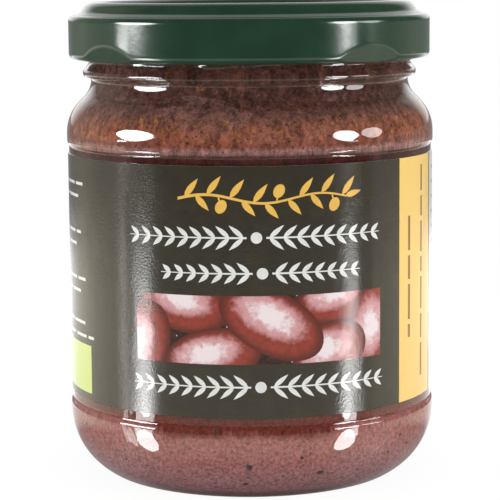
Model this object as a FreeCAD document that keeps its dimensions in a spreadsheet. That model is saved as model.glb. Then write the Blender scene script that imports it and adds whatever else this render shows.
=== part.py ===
"""A glass jar of olive tapenade: the jar, its twist-off lid, the paste and the paper label.

Millimetres, +Z up.  The origin is the middle of the foot ring, and the label's front faces -Y.
Every size is a cell of the sheet, and every sketch and feature is bound to those cells.
"""
import FreeCAD
import Part
import math
import os
import re
import Sketcher

# Lengths in millimetres and angles in degrees, each of them free to be changed by itself.
# An azimuth is counted from the label's front, and grows towards the right.
SIZES = {
    # Jar, outside, from the foot upwards
    "foot_width": 1.5,
    "push_up": 2.2,
    "heel_small_round": 3.5,
    "heel_large_round": 13.5,
    "heel_turn": 60,
    "heel_band": 0.85,
    "jar_radius": 34.2,
    "panel_depth": 0.5,
    "panel_step_rise": 1.5,
    "panel_height": 46.5,
    "ridge_out": 0.35,
    "ridge_step_rise": 1.2,
    "ridge_band": 1.3,
    "shoulder_round": 8.0,
    "shoulder_slope": 45,
    "neck_blend": 4.7,
    "groove_depth": 0.35,
    # Jar finish: the bead below the lid, the threads and the rim
    "bead_out": 1.5,
    "bead_lift": 1.14,
    "bead_round": 0.9,
    "bead_turn": 60,
    "neck_radius": 29.75,
    "neck_foot_lift": 1.85,
    "finish_height": 12.89,
    "rim_outer_round": 1.1,
    "rim_inner_round": 0.6,
    "thread_count": 4,
    "thread_depth": 1.0,
    "thread_root": 2.0,
    "thread_crest": 0.9,
    "thread_lead": 14.0,
    "thread_arc": 98,
    "thread_azimuth": -18,
    "thread_bite": 0.3,
    # Jar, inside
    "wall": 2.5,
    "floor_thickness": 3.5,
    "floor_round": 7.0,
    "inner_shoulder_lift": 0.0,
    "inner_shoulder_round": 5.5,
    "inner_neck_round": 6.5,
    "neck_wall": 2.35,
    # Lid, from its rolled edge to its raised ring
    "sheet": 0.25,
    "lid_clearance": 0.25,
    "curl_round": 1.2,
    "curl_lift": 3.7,
    "corner_in": 1.1,
    "corner_rise": 0.85,
    "corner_round": 1.15,
    "corner_below_rim": 2.1,
    "shelf_width": 1.25,
    "shelf_rise": 0.6,
    "ring_wall_in": 0.6,
    "ring_width": 3.6,
    "ring_depth": 1.2,
    # Lid, its lugs and the flat facets pressed in outside them
    "lug_count": 4,
    "lug_azimuth": 40,
    "lug_thickness": 0.7,
    "lug_reach": 0.9,
    "lug_clearance": 0.1,
    "facet_height": 2.45,
    "facet_depth": 1.0,
    # Paste and label
    "headspace": 3.6,
    "label_foot_margin": 1.4,
    "label_head_margin": 1.1,
    "label_paper": 0.2,
    "label_gap": 18,
}

FULL_TURN = "360"
QUARTER_TURN = "90"

# Radii and heights that several outlines share, each worked out from the sizes.
SHARED = {
    "panel_radius": "(jar_radius - panel_depth)",
    "ridge_radius": "(panel_radius + ridge_out)",
    "groove_radius": "(neck_radius - groove_depth)",
    "bore_radius": "(neck_radius - neck_wall)",
    "heel_center_radius": "(jar_radius - heel_large_round)",
    "heel_drop": "(heel_large_round - heel_small_round)",
    "heel_height": "(heel_drop * sin(heel_turn) + heel_small_round)",
    "foot_radius": "(heel_center_radius + heel_drop * cos(heel_turn))",
    "panel_foot": "(heel_height + heel_band + panel_step_rise)",
    "panel_head": "(panel_foot + panel_height)",
    "shoulder_foot": "(panel_head + ridge_step_rise + ridge_band)",
    "slope_foot": "(shoulder_foot + shoulder_round * sin(shoulder_slope))",
    "slope_bends": "((shoulder_round + neck_blend) * (1 - cos(shoulder_slope)))",
    "slope_rise": "((ridge_radius - groove_radius - slope_bends) * tan(shoulder_slope))",
    "groove_height": "(slope_foot + slope_rise + neck_blend * sin(shoulder_slope))",
    "bead_height": "(groove_height + bead_lift)",
    "bead_radius": "(groove_radius + bead_out)",
    "bead_edge_radius": "(bead_radius - bead_round * (1 - cos(bead_turn)))",
    "rim_height": "(groove_height + finish_height)",
    "inner_radius": "(panel_radius - wall)",
    "inner_bends": "((inner_shoulder_round + inner_neck_round) * (1 - cos(shoulder_slope)))",
    "inner_rise": "((inner_radius - bore_radius - inner_bends) * tan(shoulder_slope))",
    "inner_foot": "(shoulder_foot + inner_shoulder_lift)",
    "inner_slope_foot": "(inner_foot + inner_shoulder_round * sin(shoulder_slope))",
    "inner_slope_head": "(inner_slope_foot + inner_rise)",
    "thread_radius": "(neck_radius + thread_depth)",
    "curl_bore": "(thread_radius + lid_clearance)",
    "curl_radius": "(curl_bore + curl_round)",
    "lid_radius": "(curl_bore + 2 * curl_round)",
    "curl_height": "(bead_height + curl_lift)",
    "lid_foot": "(curl_height - curl_round)",
    "corner_height": "(rim_height - corner_below_rim)",
    "shelf_radius": "(lid_radius - corner_in - shelf_width)",
    "ring_radius": "(shelf_radius - ring_wall_in)",
    "lug_radius": "(curl_bore - lug_reach)",
    "lug_head": "(lid_foot + lug_thickness)",
    "lug_half_angle": "(acos(lug_radius / curl_bore) / 1 deg)",
    "thread_grip": "(lug_azimuth - thread_azimuth - lug_half_angle)",
    "thread_climb": f"(thread_lead * thread_grip / {FULL_TURN})",
    "thread_height": "(lug_head + lug_clearance + thread_root / 2 - thread_climb)",
}

NAME = re.compile(r"[a-z_]+")
CUBIC_MM_PER_ML = 1000

# How an outline's edge bends as the outline is walked
STRAIGHT = None
LEFT = 1
RIGHT = -1

# The sketcher's numbers for its own axes, and for the two ends of an edge
ACROSS_AXIS = -1
UPRIGHT_AXIS = -2
START = 1
END = 2

doc = FreeCAD.newDocument("tapenade_jar")
sheet = doc.addObject("Spreadsheet::Sheet", "Sizes")
for row, (alias, size) in enumerate(SIZES.items(), start=1):
    sheet.set(f"A{row}", alias)
    sheet.set(f"B{row}", str(size))
    sheet.setAlias(f"B{row}", alias)
doc.recompute()


def bound(text):
    """Return the expression with every named size written as its cell of the sheet."""
    def cell(match):
        word = match.group()
        if word in SHARED:
            return NAME.sub(cell, SHARED[word])
        return f"Sizes.{word}" if word in SIZES else word
    return NAME.sub(cell, text)


def number(text):
    """Return what an expression comes to with the present sizes."""
    return float(sheet.evalExpression(bound(text)))


def origin_feature(body, role):
    """Return the plane or axis of the body's own origin that has this role."""
    return next(feature for feature in body.Origin.OriginFeatures if feature.Role == role)


def new_body(label, azimuth):
    """Return an empty body on the jar's axis, whose sketches lie at this azimuth."""
    body = doc.addObject("PartDesign::Body", label)
    body.Label = label
    body.Placement = FreeCAD.Placement(FreeCAD.Vector(), FreeCAD.Rotation(FreeCAD.Vector(0, 0, 1), 0))
    body.setExpression("Placement.Rotation.Angle", bound(f"{azimuth} - {QUARTER_TURN}"))
    return body


def arc_between(begin, end, radius, bend):
    """Return the shorter arc from begin to end that curves to the left or the right."""
    across, up = end[0] - begin[0], end[1] - begin[1]
    chord = math.hypot(across, up)
    offset = bend * math.sqrt(max(radius ** 2 - (chord / 2) ** 2, 0)) / chord
    middle = FreeCAD.Vector(
        (begin[0] + end[0]) / 2 - up * offset,
        (begin[1] + end[1]) / 2 + across * offset,
    )
    circle = Part.Circle(middle, FreeCAD.Vector(0, 0, 1), radius)
    first, last = (begin, end) if bend == LEFT else (end, begin)
    angles = [math.atan2(point[1] - middle.y, point[0] - middle.x) for point in (first, last)]
    return Part.ArcOfCircle(circle, *angles)


def pin_corner(sketch, edge, which, across, up):
    """Hold one end of an edge at its distances from the sketch's two axes."""
    for kind, text, axis in (("DistanceX", across, UPRIGHT_AXIS), ("DistanceY", up, ACROSS_AXIS)):
        if text == "0":
            sketch.addConstraint(Sketcher.Constraint("PointOnObject", edge, which, axis))
            continue
        distance = Sketcher.Constraint(kind, ACROSS_AXIS, START, edge, which, number(text))
        sketch.setExpression(f"Constraints[{sketch.addConstraint(distance)}]", bound(text))


def draw(body, name, corners):
    """Sketch a closed outline in the body's XZ plane, bound to the sheet.

    Each corner is (across, up, radius, bend): the expressions of its place and of the radius
    of the edge that arrives there, and whether that edge is straight or bends left or right.
    """
    sketch = body.newObject("Sketcher::SketchObject", name)
    sketch.AttachmentSupport = [(origin_feature(body, "XZ_Plane"), "")]
    sketch.MapMode = "FlatFace"
    places = [(number(across), number(up)) for across, up, *_ in corners]
    ends = []
    for index, (across, up, radius, bend) in enumerate(corners):
        begin, end = places[index - 1], places[index]
        if bend is STRAIGHT:
            line = Part.LineSegment(FreeCAD.Vector(*begin, 0), FreeCAD.Vector(*end, 0))
            edge = sketch.addGeometry(line)
        else:
            edge = sketch.addGeometry(arc_between(begin, end, number(radius), bend))
            rounding = Sketcher.Constraint("Radius", edge, number(radius))
            sketch.setExpression(f"Constraints[{sketch.addConstraint(rounding)}]", bound(radius))
        ends.append((START, END) if bend != RIGHT else (END, START))
        pin_corner(sketch, edge, ends[-1][1], across, up)
    for edge in range(len(corners)):
        before = (edge - 1) % len(corners)
        meeting = Sketcher.Constraint("Coincident", before, ends[before][1], edge, ends[edge][0])
        sketch.addConstraint(meeting)
    return sketch


def corner(across, up, radius="", bend=STRAIGHT):
    """Return one corner of an outline, reached by a straight edge unless a bend is given."""
    return across, up, radius, bend


def walked_back(corners):
    """Return the same run of corners from its last to its first, each bend on the other hand."""
    turned = []
    for index in range(len(corners) - 1, -1, -1):
        across, up = corners[index][:2]
        if index == len(corners) - 1:
            turned.append(corner(across, up))
            continue
        radius, bend = corners[index + 1][2:]
        turned.append(corner(across, up, radius, bend if bend is STRAIGHT else -bend))
    return turned


def revolve(body, name, sketch, sweep=FULL_TURN, midplane=False):
    """Turn a sketch about the body's upright axis."""
    turned = body.newObject("PartDesign::Revolution", name)
    turned.Profile = sketch
    turned.ReferenceAxis = (sketch, ["V_Axis"])
    turned.Midplane = midplane
    turned.setExpression("Angle", bound(sweep))
    doc.recompute()


def repeat_round(body, name, feature, count):
    """Repeat a feature evenly about the body's upright axis, as the body's last feature."""
    ring = body.newObject("PartDesign::PolarPattern", name)
    ring.Originals = [feature]
    ring.Axis = (origin_feature(body, "Z_Axis"), [""])
    ring.setExpression("Occurrences", bound(count))
    body.Tip = ring
    doc.recompute()


def step_between(start, end, height, rise):
    """Return the two tangent bends that carry an upright wall from one radius to another."""
    change = f"abs({end} - {start})"
    bend_radius = f"({change} ^ 2 + {rise} ^ 2) / (4 * {change})"
    first = RIGHT if number(end) > number(start) else LEFT
    return [
        corner(f"({start} + {end}) / 2", f"{height} + {rise} / 2", bend_radius, first),
        corner(end, f"{height} + {rise}", bend_radius, -first),
    ]


def dome_radius(edge):
    """Return the radius of the shallow dome that rises by the push-up over a disc."""
    return f"({edge} ^ 2 + push_up ^ 2) / (2 * push_up)"


def outer_wall():
    """Return the jar's outside from the middle of its base to its rim."""
    foot_inner = "(foot_radius - foot_width)"
    bead_rise = "bead_round * sin(bead_turn)"
    return [
        corner("0", "push_up"),
        corner(foot_inner, "0", dome_radius(foot_inner), RIGHT),
        corner("foot_radius", "0"),
        corner(
            "heel_center_radius + heel_large_round * cos(heel_turn)",
            "heel_height - heel_large_round * sin(heel_turn)",
            "heel_small_round",
            LEFT,
        ),
        corner("jar_radius", "heel_height", "heel_large_round", LEFT),
        corner("jar_radius", "heel_height + heel_band"),
        *step_between("jar_radius", "panel_radius", "heel_height + heel_band", "panel_step_rise"),
        corner("panel_radius", "panel_head"),
        *step_between("panel_radius", "ridge_radius", "panel_head", "ridge_step_rise"),
        corner("ridge_radius", "shoulder_foot"),
        corner(
            "ridge_radius - shoulder_round * (1 - cos(shoulder_slope))",
            "slope_foot",
            "shoulder_round",
            LEFT,
        ),
        corner("groove_radius + neck_blend * (1 - cos(shoulder_slope))", "slope_foot + slope_rise"),
        corner("groove_radius", "groove_height", "neck_blend", RIGHT),
        corner("bead_edge_radius", f"bead_height - {bead_rise}"),
        corner("bead_edge_radius", f"bead_height + {bead_rise}", "bead_round", LEFT),
        corner("neck_radius", "bead_height + neck_foot_lift"),
        corner("neck_radius", "rim_height - rim_outer_round"),
        corner("neck_radius - rim_outer_round", "rim_height", "rim_outer_round", LEFT),
    ]


def inner_wall(top):
    """Return the jar's inside from the middle of its floor up to a height in the bore."""
    floor_edge = "(inner_radius - floor_round)"
    return [
        corner("0", "floor_thickness + push_up"),
        corner(floor_edge, "floor_thickness", dome_radius(floor_edge), RIGHT),
        corner("inner_radius", "floor_thickness + floor_round", "floor_round", LEFT),
        corner("inner_radius", "inner_foot"),
        corner(
            "inner_radius - inner_shoulder_round * (1 - cos(shoulder_slope))",
            "inner_slope_foot",
            "inner_shoulder_round",
            LEFT,
        ),
        corner("bore_radius + inner_neck_round * (1 - cos(shoulder_slope))", "inner_slope_head"),
        corner(
            "bore_radius",
            "inner_slope_head + inner_neck_round * sin(shoulder_slope)",
            "inner_neck_round",
            RIGHT,
        ),
        corner("bore_radius", top),
    ]


def make_jar():
    """Build the glass jar with its four thread starts."""
    body = new_body("jar", "thread_azimuth")
    rim = [
        corner("bore_radius + rim_inner_round", "rim_height"),
        corner("bore_radius", "rim_height - rim_inner_round", "rim_inner_round", LEFT),
    ]
    inside = walked_back(inner_wall("rim_height - rim_inner_round"))[1:]
    revolve(body, "JarGlass", draw(body, "JarOutline", outer_wall() + rim + inside))

    root = "neck_radius - thread_bite"
    thread = draw(body, "ThreadSection", [
        corner(root, "thread_height - thread_root / 2"),
        corner("thread_radius", "thread_height - thread_crest / 2"),
        corner("thread_radius", "thread_height + thread_crest / 2"),
        corner(root, "thread_height + thread_root / 2"),
    ])
    start = body.newObject("PartDesign::AdditiveHelix", "Thread")
    start.Profile = thread
    start.ReferenceAxis = (thread, ["V_Axis"])
    start.Mode = "pitch-turns-angle"
    start.setExpression("Pitch", bound("thread_lead"))
    start.setExpression("Turns", bound(f"thread_arc / {FULL_TURN}"))
    doc.recompute()
    repeat_round(body, "ThreadStarts", start, "thread_count")
    return body


def make_lid():
    """Build the pressed steel lid: rolled edge, lugs, skirt, shelf and raised ring."""
    body = new_body("lid", "lug_azimuth")
    ring_round = "((ring_width / 2) ^ 2 + (ring_depth - sheet) ^ 2) / (2 * (ring_depth - sheet))"
    panel_height = "rim_height + sheet"
    shelf_height = "corner_height + corner_rise"
    skirt = "lid_radius - sheet"
    outline = draw(body, "LidOutline", [
        corner("0", "rim_height"),
        corner("ring_radius - sheet", "rim_height"),
        corner("shelf_radius - sheet", f"{shelf_height} + shelf_rise - sheet"),
        corner("lid_radius - corner_in - sheet / 2", f"{shelf_height} - sheet"),
        corner(skirt, "corner_height - sheet", "corner_round - sheet / 2", RIGHT),
        corner(skirt, "curl_height + curl_round"),
        corner("curl_radius", "curl_height + curl_round"),
        corner("curl_bore", "curl_height", "curl_round", LEFT),
        corner("curl_radius", "lid_foot", "curl_round", LEFT),
        corner("lid_radius", "curl_height", "curl_round", LEFT),
        corner("lid_radius", "corner_height"),
        corner("lid_radius - corner_in", shelf_height, "corner_round", LEFT),
        corner("shelf_radius", f"{shelf_height} + shelf_rise"),
        corner("ring_radius", panel_height),
        corner("ring_radius - ring_width", panel_height, ring_round, LEFT),
        corner("0", panel_height),
    ])
    revolve(body, "LidSheet", outline)

    lug = draw(body, "LugSection", [
        corner("lug_radius", "lid_foot"),
        corner("curl_radius", "lid_foot"),
        corner("curl_radius", "lug_head"),
        corner("lug_radius", "lug_head"),
    ])
    plate = body.newObject("PartDesign::Pad", "Lug")
    plate.Profile = lug
    plate.Midplane = True
    plate.setExpression("Length", bound("2 * lug_radius * tan(lug_half_angle)"))
    doc.recompute()
    repeat_round(body, "Lugs", plate, "lug_count")

    beyond = "lid_radius + facet_depth"
    below = "lid_foot - facet_depth"
    facet = draw(body, "FacetSection", [
        corner("lid_radius", "lid_foot + facet_height"),
        corner("lid_radius - facet_depth * (1 + facet_depth / facet_height)", below),
        corner(beyond, below),
        corner(beyond, "lid_foot + facet_height"),
    ])
    flat = body.newObject("PartDesign::Pocket", "Facet")
    flat.Profile = facet
    flat.Midplane = True
    flat.setExpression("Length", bound("2 * sqrt(lid_radius ^ 2 - (lid_radius - 2 * facet_depth) ^ 2)"))
    doc.recompute()
    repeat_round(body, "Facets", flat, "lug_count")
    return body


def make_paste():
    """Build the paste, which fills the jar up to a small headspace below its rim."""
    body = new_body("tapenade", QUARTER_TURN)
    filling = inner_wall("rim_height - headspace")
    filling.append(corner("0", "rim_height - headspace"))
    revolve(body, "PasteFilling", draw(body, "PasteOutline", filling))
    return body


def make_label():
    """Build the paper label, wrapped round the jar's panel with a gap behind."""
    body = new_body("label", "0")
    foot = "panel_foot + label_foot_margin"
    head = "panel_head - label_head_margin"
    outline = draw(body, "LabelSection", [
        corner("panel_radius", foot),
        corner("panel_radius + label_paper", foot),
        corner("panel_radius + label_paper", head),
        corner("panel_radius", head),
    ])
    revolve(body, "LabelWrap", outline, f"{FULL_TURN} - label_gap", midplane=True)
    return body


pieces = [make_jar(), make_lid(), make_paste(), make_label()]
doc.recompute()

for item in doc.Objects:
    if "Invalid" in item.State or "Error" in item.State:
        raise RuntimeError(f"{item.Label} could not be built: {item.State}")
for piece in pieces:
    if piece.Shape.isNull() or not piece.Shape.isValid() or len(piece.Shape.Solids) != 1:
        raise RuntimeError(f"{piece.Label} is not one valid solid")

os.makedirs("parts", exist_ok=True)
for piece in pieces:
    piece.Shape.exportStep(f"parts/{piece.Label}.step")
    box = piece.Shape.optimalBoundingBox()
    millilitres = piece.Shape.Volume / CUBIC_MM_PER_ML
    print(f"{piece.Label}: {millilitres:.2f} ml, {box.ZMin:.2f} to {box.ZMax:.2f} mm up")
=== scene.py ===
import logging
import math
from dataclasses import dataclass, field
from enum import Enum
from typing import Any, Callable

import bmesh
import bpy
import numpy as np
from mathutils import Matrix, Vector, noise
from mathutils.geometry import delaunay_2d_cdt


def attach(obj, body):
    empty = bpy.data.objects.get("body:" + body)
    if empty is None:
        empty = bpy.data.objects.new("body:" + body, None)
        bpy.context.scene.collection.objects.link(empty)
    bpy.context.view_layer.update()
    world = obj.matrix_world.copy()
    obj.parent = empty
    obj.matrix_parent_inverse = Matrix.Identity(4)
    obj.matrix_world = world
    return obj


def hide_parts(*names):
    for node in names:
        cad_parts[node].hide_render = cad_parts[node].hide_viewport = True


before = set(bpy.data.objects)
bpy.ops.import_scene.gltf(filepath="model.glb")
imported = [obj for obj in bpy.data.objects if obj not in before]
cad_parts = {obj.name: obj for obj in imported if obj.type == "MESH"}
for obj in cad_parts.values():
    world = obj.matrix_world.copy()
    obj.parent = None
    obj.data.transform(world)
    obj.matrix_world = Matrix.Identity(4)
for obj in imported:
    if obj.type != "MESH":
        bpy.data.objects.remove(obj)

Pair = tuple[float, float]
Triple = tuple[float, float, float]

MM = 0.001
FULL_TURN = 360.0
EVEN: Triple = (1.0, 1.0, 1.0)
WHITE: Triple = (1.0, 1.0, 1.0)
BLACK: Triple = (0.0, 0.0, 0.0)
MIX_FIRST, MIX_SECOND, MIX_RESULT = 6, 7, 2
LEAF_FULLEST = 0.8
PLAIN_GLOSS = 0.5
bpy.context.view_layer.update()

log = logging.getLogger("jar_of_tapenade")


# ------------------------------------------------------------------ shader words


@dataclass(frozen=True)
class Wire:
    """A socket's value in a shader, on which Python's operators add nodes."""

    graph: "Graph"
    socket: bpy.types.NodeSocket

    def __add__(self, other: "Wire | float") -> "Wire":
        """Add."""
        return self.graph.math("ADD", self, other)

    def __radd__(self, other: float) -> "Wire":
        """Add to a number."""
        return self.graph.math("ADD", other, self)

    def __sub__(self, other: "Wire | float") -> "Wire":
        """Subtract."""
        return self.graph.math("SUBTRACT", self, other)

    def __rsub__(self, other: float) -> "Wire":
        """Subtract from a number."""
        return self.graph.math("SUBTRACT", other, self)

    def __mul__(self, other: "Wire | float") -> "Wire":
        """Multiply."""
        return self.graph.math("MULTIPLY", self, other)

    def __rmul__(self, other: float) -> "Wire":
        """Multiply a number."""
        return self.graph.math("MULTIPLY", other, self)

    def __truediv__(self, other: "Wire | float") -> "Wire":
        """Divide."""
        return self.graph.math("DIVIDE", self, other)

    def ramp(self, low: float, high: float) -> "Wire":
        """Rise smoothly from 0 at the first value to 1 at the second, which may be the lesser."""
        sockets = {"Value": self, "From Min": low, "From Max": high}
        return self.graph.node("ShaderNodeMapRange", {"interpolation_type": "SMOOTHSTEP"}, sockets)

    def band(self, low: float, high: float, soft: float) -> "Wire":
        """Be 1 between two values and fade out over a soft edge at each."""
        return self.ramp(low - soft, low + soft) * self.ramp(high + soft, high - soft)

    def between(self, start: "Wire | float", end: "Wire | float") -> "Wire":
        """Give the first value where this one is 0 and the second where it is 1."""
        return self * (end - start) + start

    def most(self, other: "Wire | float") -> "Wire":
        """Take the greater of two values."""
        return self.graph.math("MAXIMUM", self, other)

    def root(self) -> "Wire":
        """Take the square root."""
        return self.graph.math("SQRT", self)

    def part(self, axis: str) -> "Wire":
        """Take one part of a vector: X, Y or Z."""
        return self.graph.node("ShaderNodeSeparateXYZ", None, {0: self}, axis)


@dataclass(frozen=True)
class Cloud:
    """Soft noise: patch size in millimetres, finer layers and their strength, stretch and contrast."""

    grain: float
    detail: float = 2.0
    rough: float = 0.5
    stretch: Triple = EVEN
    span: Pair | None = None


class Graph:
    """The nodes of one material or world."""

    def __init__(self, tree: bpy.types.NodeTree) -> None:
        """Start with an empty tree."""
        self.tree = tree
        self.tree.nodes.clear()

    def node(
        self,
        kind: str,
        settings: dict[str, Any] | None = None,
        sockets: dict[str | int, Any] | None = None,
        output: str | int = 0,
    ) -> Wire:
        """Add a node.

        Args:
            kind: Blender's name of the node type.
            settings: The node's own settings, set before its sockets.
            sockets: Values or wires by socket name or number.
            output: The output that is handed back.

        Returns:
            The wire from that output.
        """
        made = self.tree.nodes.new(kind)
        for name, value in (settings or {}).items():
            if name == "stops":
                self._set_stops(made.color_ramp, value)
            else:
                setattr(made, name, value)
        for name, value in (sockets or {}).items():
            self._feed(made.inputs[name], value)
        return Wire(self, made.outputs[output])

    def _set_stops(self, ramp: bpy.types.ColorRamp, stops: list[tuple[float, tuple]]) -> None:
        """Give a colour ramp its stops.

        Args:
            ramp: The ramp.
            stops: Places and colours, in rising order.
        """
        while len(ramp.elements) < len(stops):
            ramp.elements.new(1.0)
        for element, (place, colour) in zip(ramp.elements, stops):
            element.position = place
            element.color = (*colour, 1.0)

    def _feed(self, socket: bpy.types.NodeSocket, value: Any) -> None:
        """Link a wire to a socket, or set the socket's own value.

        Args:
            socket: The socket.
            value: The wire, colour or number that it gets.
        """
        if isinstance(value, Wire):
            self.tree.links.new(value.socket, socket)
        elif isinstance(value, tuple) and len(value) == 3 and socket.type == "RGBA":
            socket.default_value = (*value, 1.0)
        else:
            socket.default_value = value

    def math(self, operation: str, *values: Wire | float) -> Wire:
        """Add a Math node on its values in order."""
        return self.node("ShaderNodeMath", {"operation": operation}, dict(enumerate(values)))

    def mix(self, factor: Wire | float, first: Wire | Triple, second: Wire | Triple) -> Wire:
        """Mix two colours, where factor 0 gives the first and 1 the second."""
        sockets = {0: factor, MIX_FIRST: first, MIX_SECOND: second}
        return self.node("ShaderNodeMix", {"data_type": "RGBA"}, sockets, MIX_RESULT)

    def place(self, stretch: Triple = EVEN) -> Wire:
        """Give the place on the object in millimetres, times a factor for each axis."""
        here = self.node("ShaderNodeTexCoord", output="Object")
        scale = tuple(part / MM for part in stretch)
        return self.node("ShaderNodeVectorMath", {"operation": "MULTIPLY"}, {0: here, 1: scale})

    def cloud(self, pattern: Cloud) -> Wire:
        """Give soft noise from 0 to 1.

        Args:
            pattern: The noise's grain, layers, stretch and contrast.

        Returns:
            The noise, raised to full contrast if the pattern has a span.
        """
        sockets = {
            "Vector": self.place(pattern.stretch),
            "Scale": 1.0 / pattern.grain,
            "Detail": pattern.detail,
            "Roughness": pattern.rough,
        }
        value = self.node("ShaderNodeTexNoise", None, sockets, "Fac")
        return value.ramp(*pattern.span) if pattern.span else value

    def cells(self, grain: float, output: str = "Distance") -> Wire:
        """Give cells of a size in millimetres: the Distance to their middles, or their Color."""
        sockets = {"Vector": self.place(), "Scale": 1.0 / grain}
        return self.node("ShaderNodeTexVoronoi", None, sockets, output)

    def bump(self, height: Wire, depth: float, strength: float = 1.0) -> Wire:
        """Turn a height pattern into a bumped normal, where 1 stands a depth in millimetres high."""
        sockets = {"Height": height, "Distance": depth * MM, "Strength": strength}
        return self.node("ShaderNodeBump", None, sockets)

    def ray(self, kind: str) -> Wire:
        """Say whether the ray is of a kind."""
        return self.node("ShaderNodeLightPath", output=kind)

    def surface(self, sockets: dict[str, Any]) -> Wire:
        """Add a Principled surface with its sockets set."""
        return self.node("ShaderNodeBsdfPrincipled", None, sockets)

    def blend(self, factor: Wire, first: Wire, second: Wire) -> Wire:
        """Mix two shaders by a factor."""
        return self.node("ShaderNodeMixShader", None, {0: factor, 1: first, 2: second})

    def finish(self, shader: Wire, kind: str = "ShaderNodeOutputMaterial") -> None:
        """Lead a shader to the output."""
        made = self.tree.nodes.new(kind)
        self.tree.links.new(shader.socket, made.inputs["Surface"])


def material_graph(name: str) -> tuple[bpy.types.Material, Graph]:
    """Make an empty material.

    Args:
        name: The material's name.

    Returns:
        The material and its graph.
    """
    material = bpy.data.materials.new(name)
    material.use_nodes = True
    return material, Graph(material.node_tree)


# ------------------------------------------------------------------ finishes


@dataclass(frozen=True)
class ClearGlass:
    """Clear soda glass that lets the lamps through to the paste."""

    tint: Triple = (0.985, 0.992, 0.985)
    index: float = 1.5
    ripple: Cloud = Cloud(9.0, 1.0)
    ripple_depth: float = 0.05

    def material(self) -> bpy.types.Material:
        """Make the glass."""
        material, graph = material_graph("clear_glass")
        glass = graph.surface({
            "Base Color": self.tint,
            "Roughness": 0.0,
            "IOR": self.index,
            "Transmission Weight": 1.0,
            "Normal": graph.bump(graph.cloud(self.ripple), self.ripple_depth),
        })
        clear = graph.node("ShaderNodeBsdfTransparent", None, {"Color": self.tint})
        straight = graph.ray("Is Shadow Ray").most(graph.ray("Is Diffuse Ray"))
        graph.finish(graph.blend(straight, glass, clear))
        return material


@dataclass(frozen=True)
class GreenLacquer:
    """Glossy bottle-green lacquer on pressed steel."""

    deep: Triple = (0.011, 0.038, 0.021)
    light: Triple = (0.014, 0.047, 0.026)
    patches: Cloud = Cloud(6.0, 3.0)
    patch_span: Pair = (0.3, 0.7)
    roughness: Pair = (0.11, 0.17)
    peel: Cloud = Cloud(0.8, 1.0)
    peel_depth: float = 0.005
    dent: Cloud = Cloud(14.0, 0.0)
    dent_depth: float = 0.10

    def material(self) -> bpy.types.Material:
        """Make the lacquer."""
        material, graph = material_graph("green_lacquer")
        patches = graph.cloud(self.patches)
        relief = graph.cloud(self.peel) * (self.peel_depth / self.dent_depth) + graph.cloud(self.dent)
        graph.finish(graph.surface({
            "Base Color": graph.mix(patches.ramp(*self.patch_span), self.deep, self.light),
            "Roughness": patches.between(*self.roughness),
            "Specular IOR Level": PLAIN_GLOSS,
            "Normal": graph.bump(relief, self.dent_depth),
        }))
        return material


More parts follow.
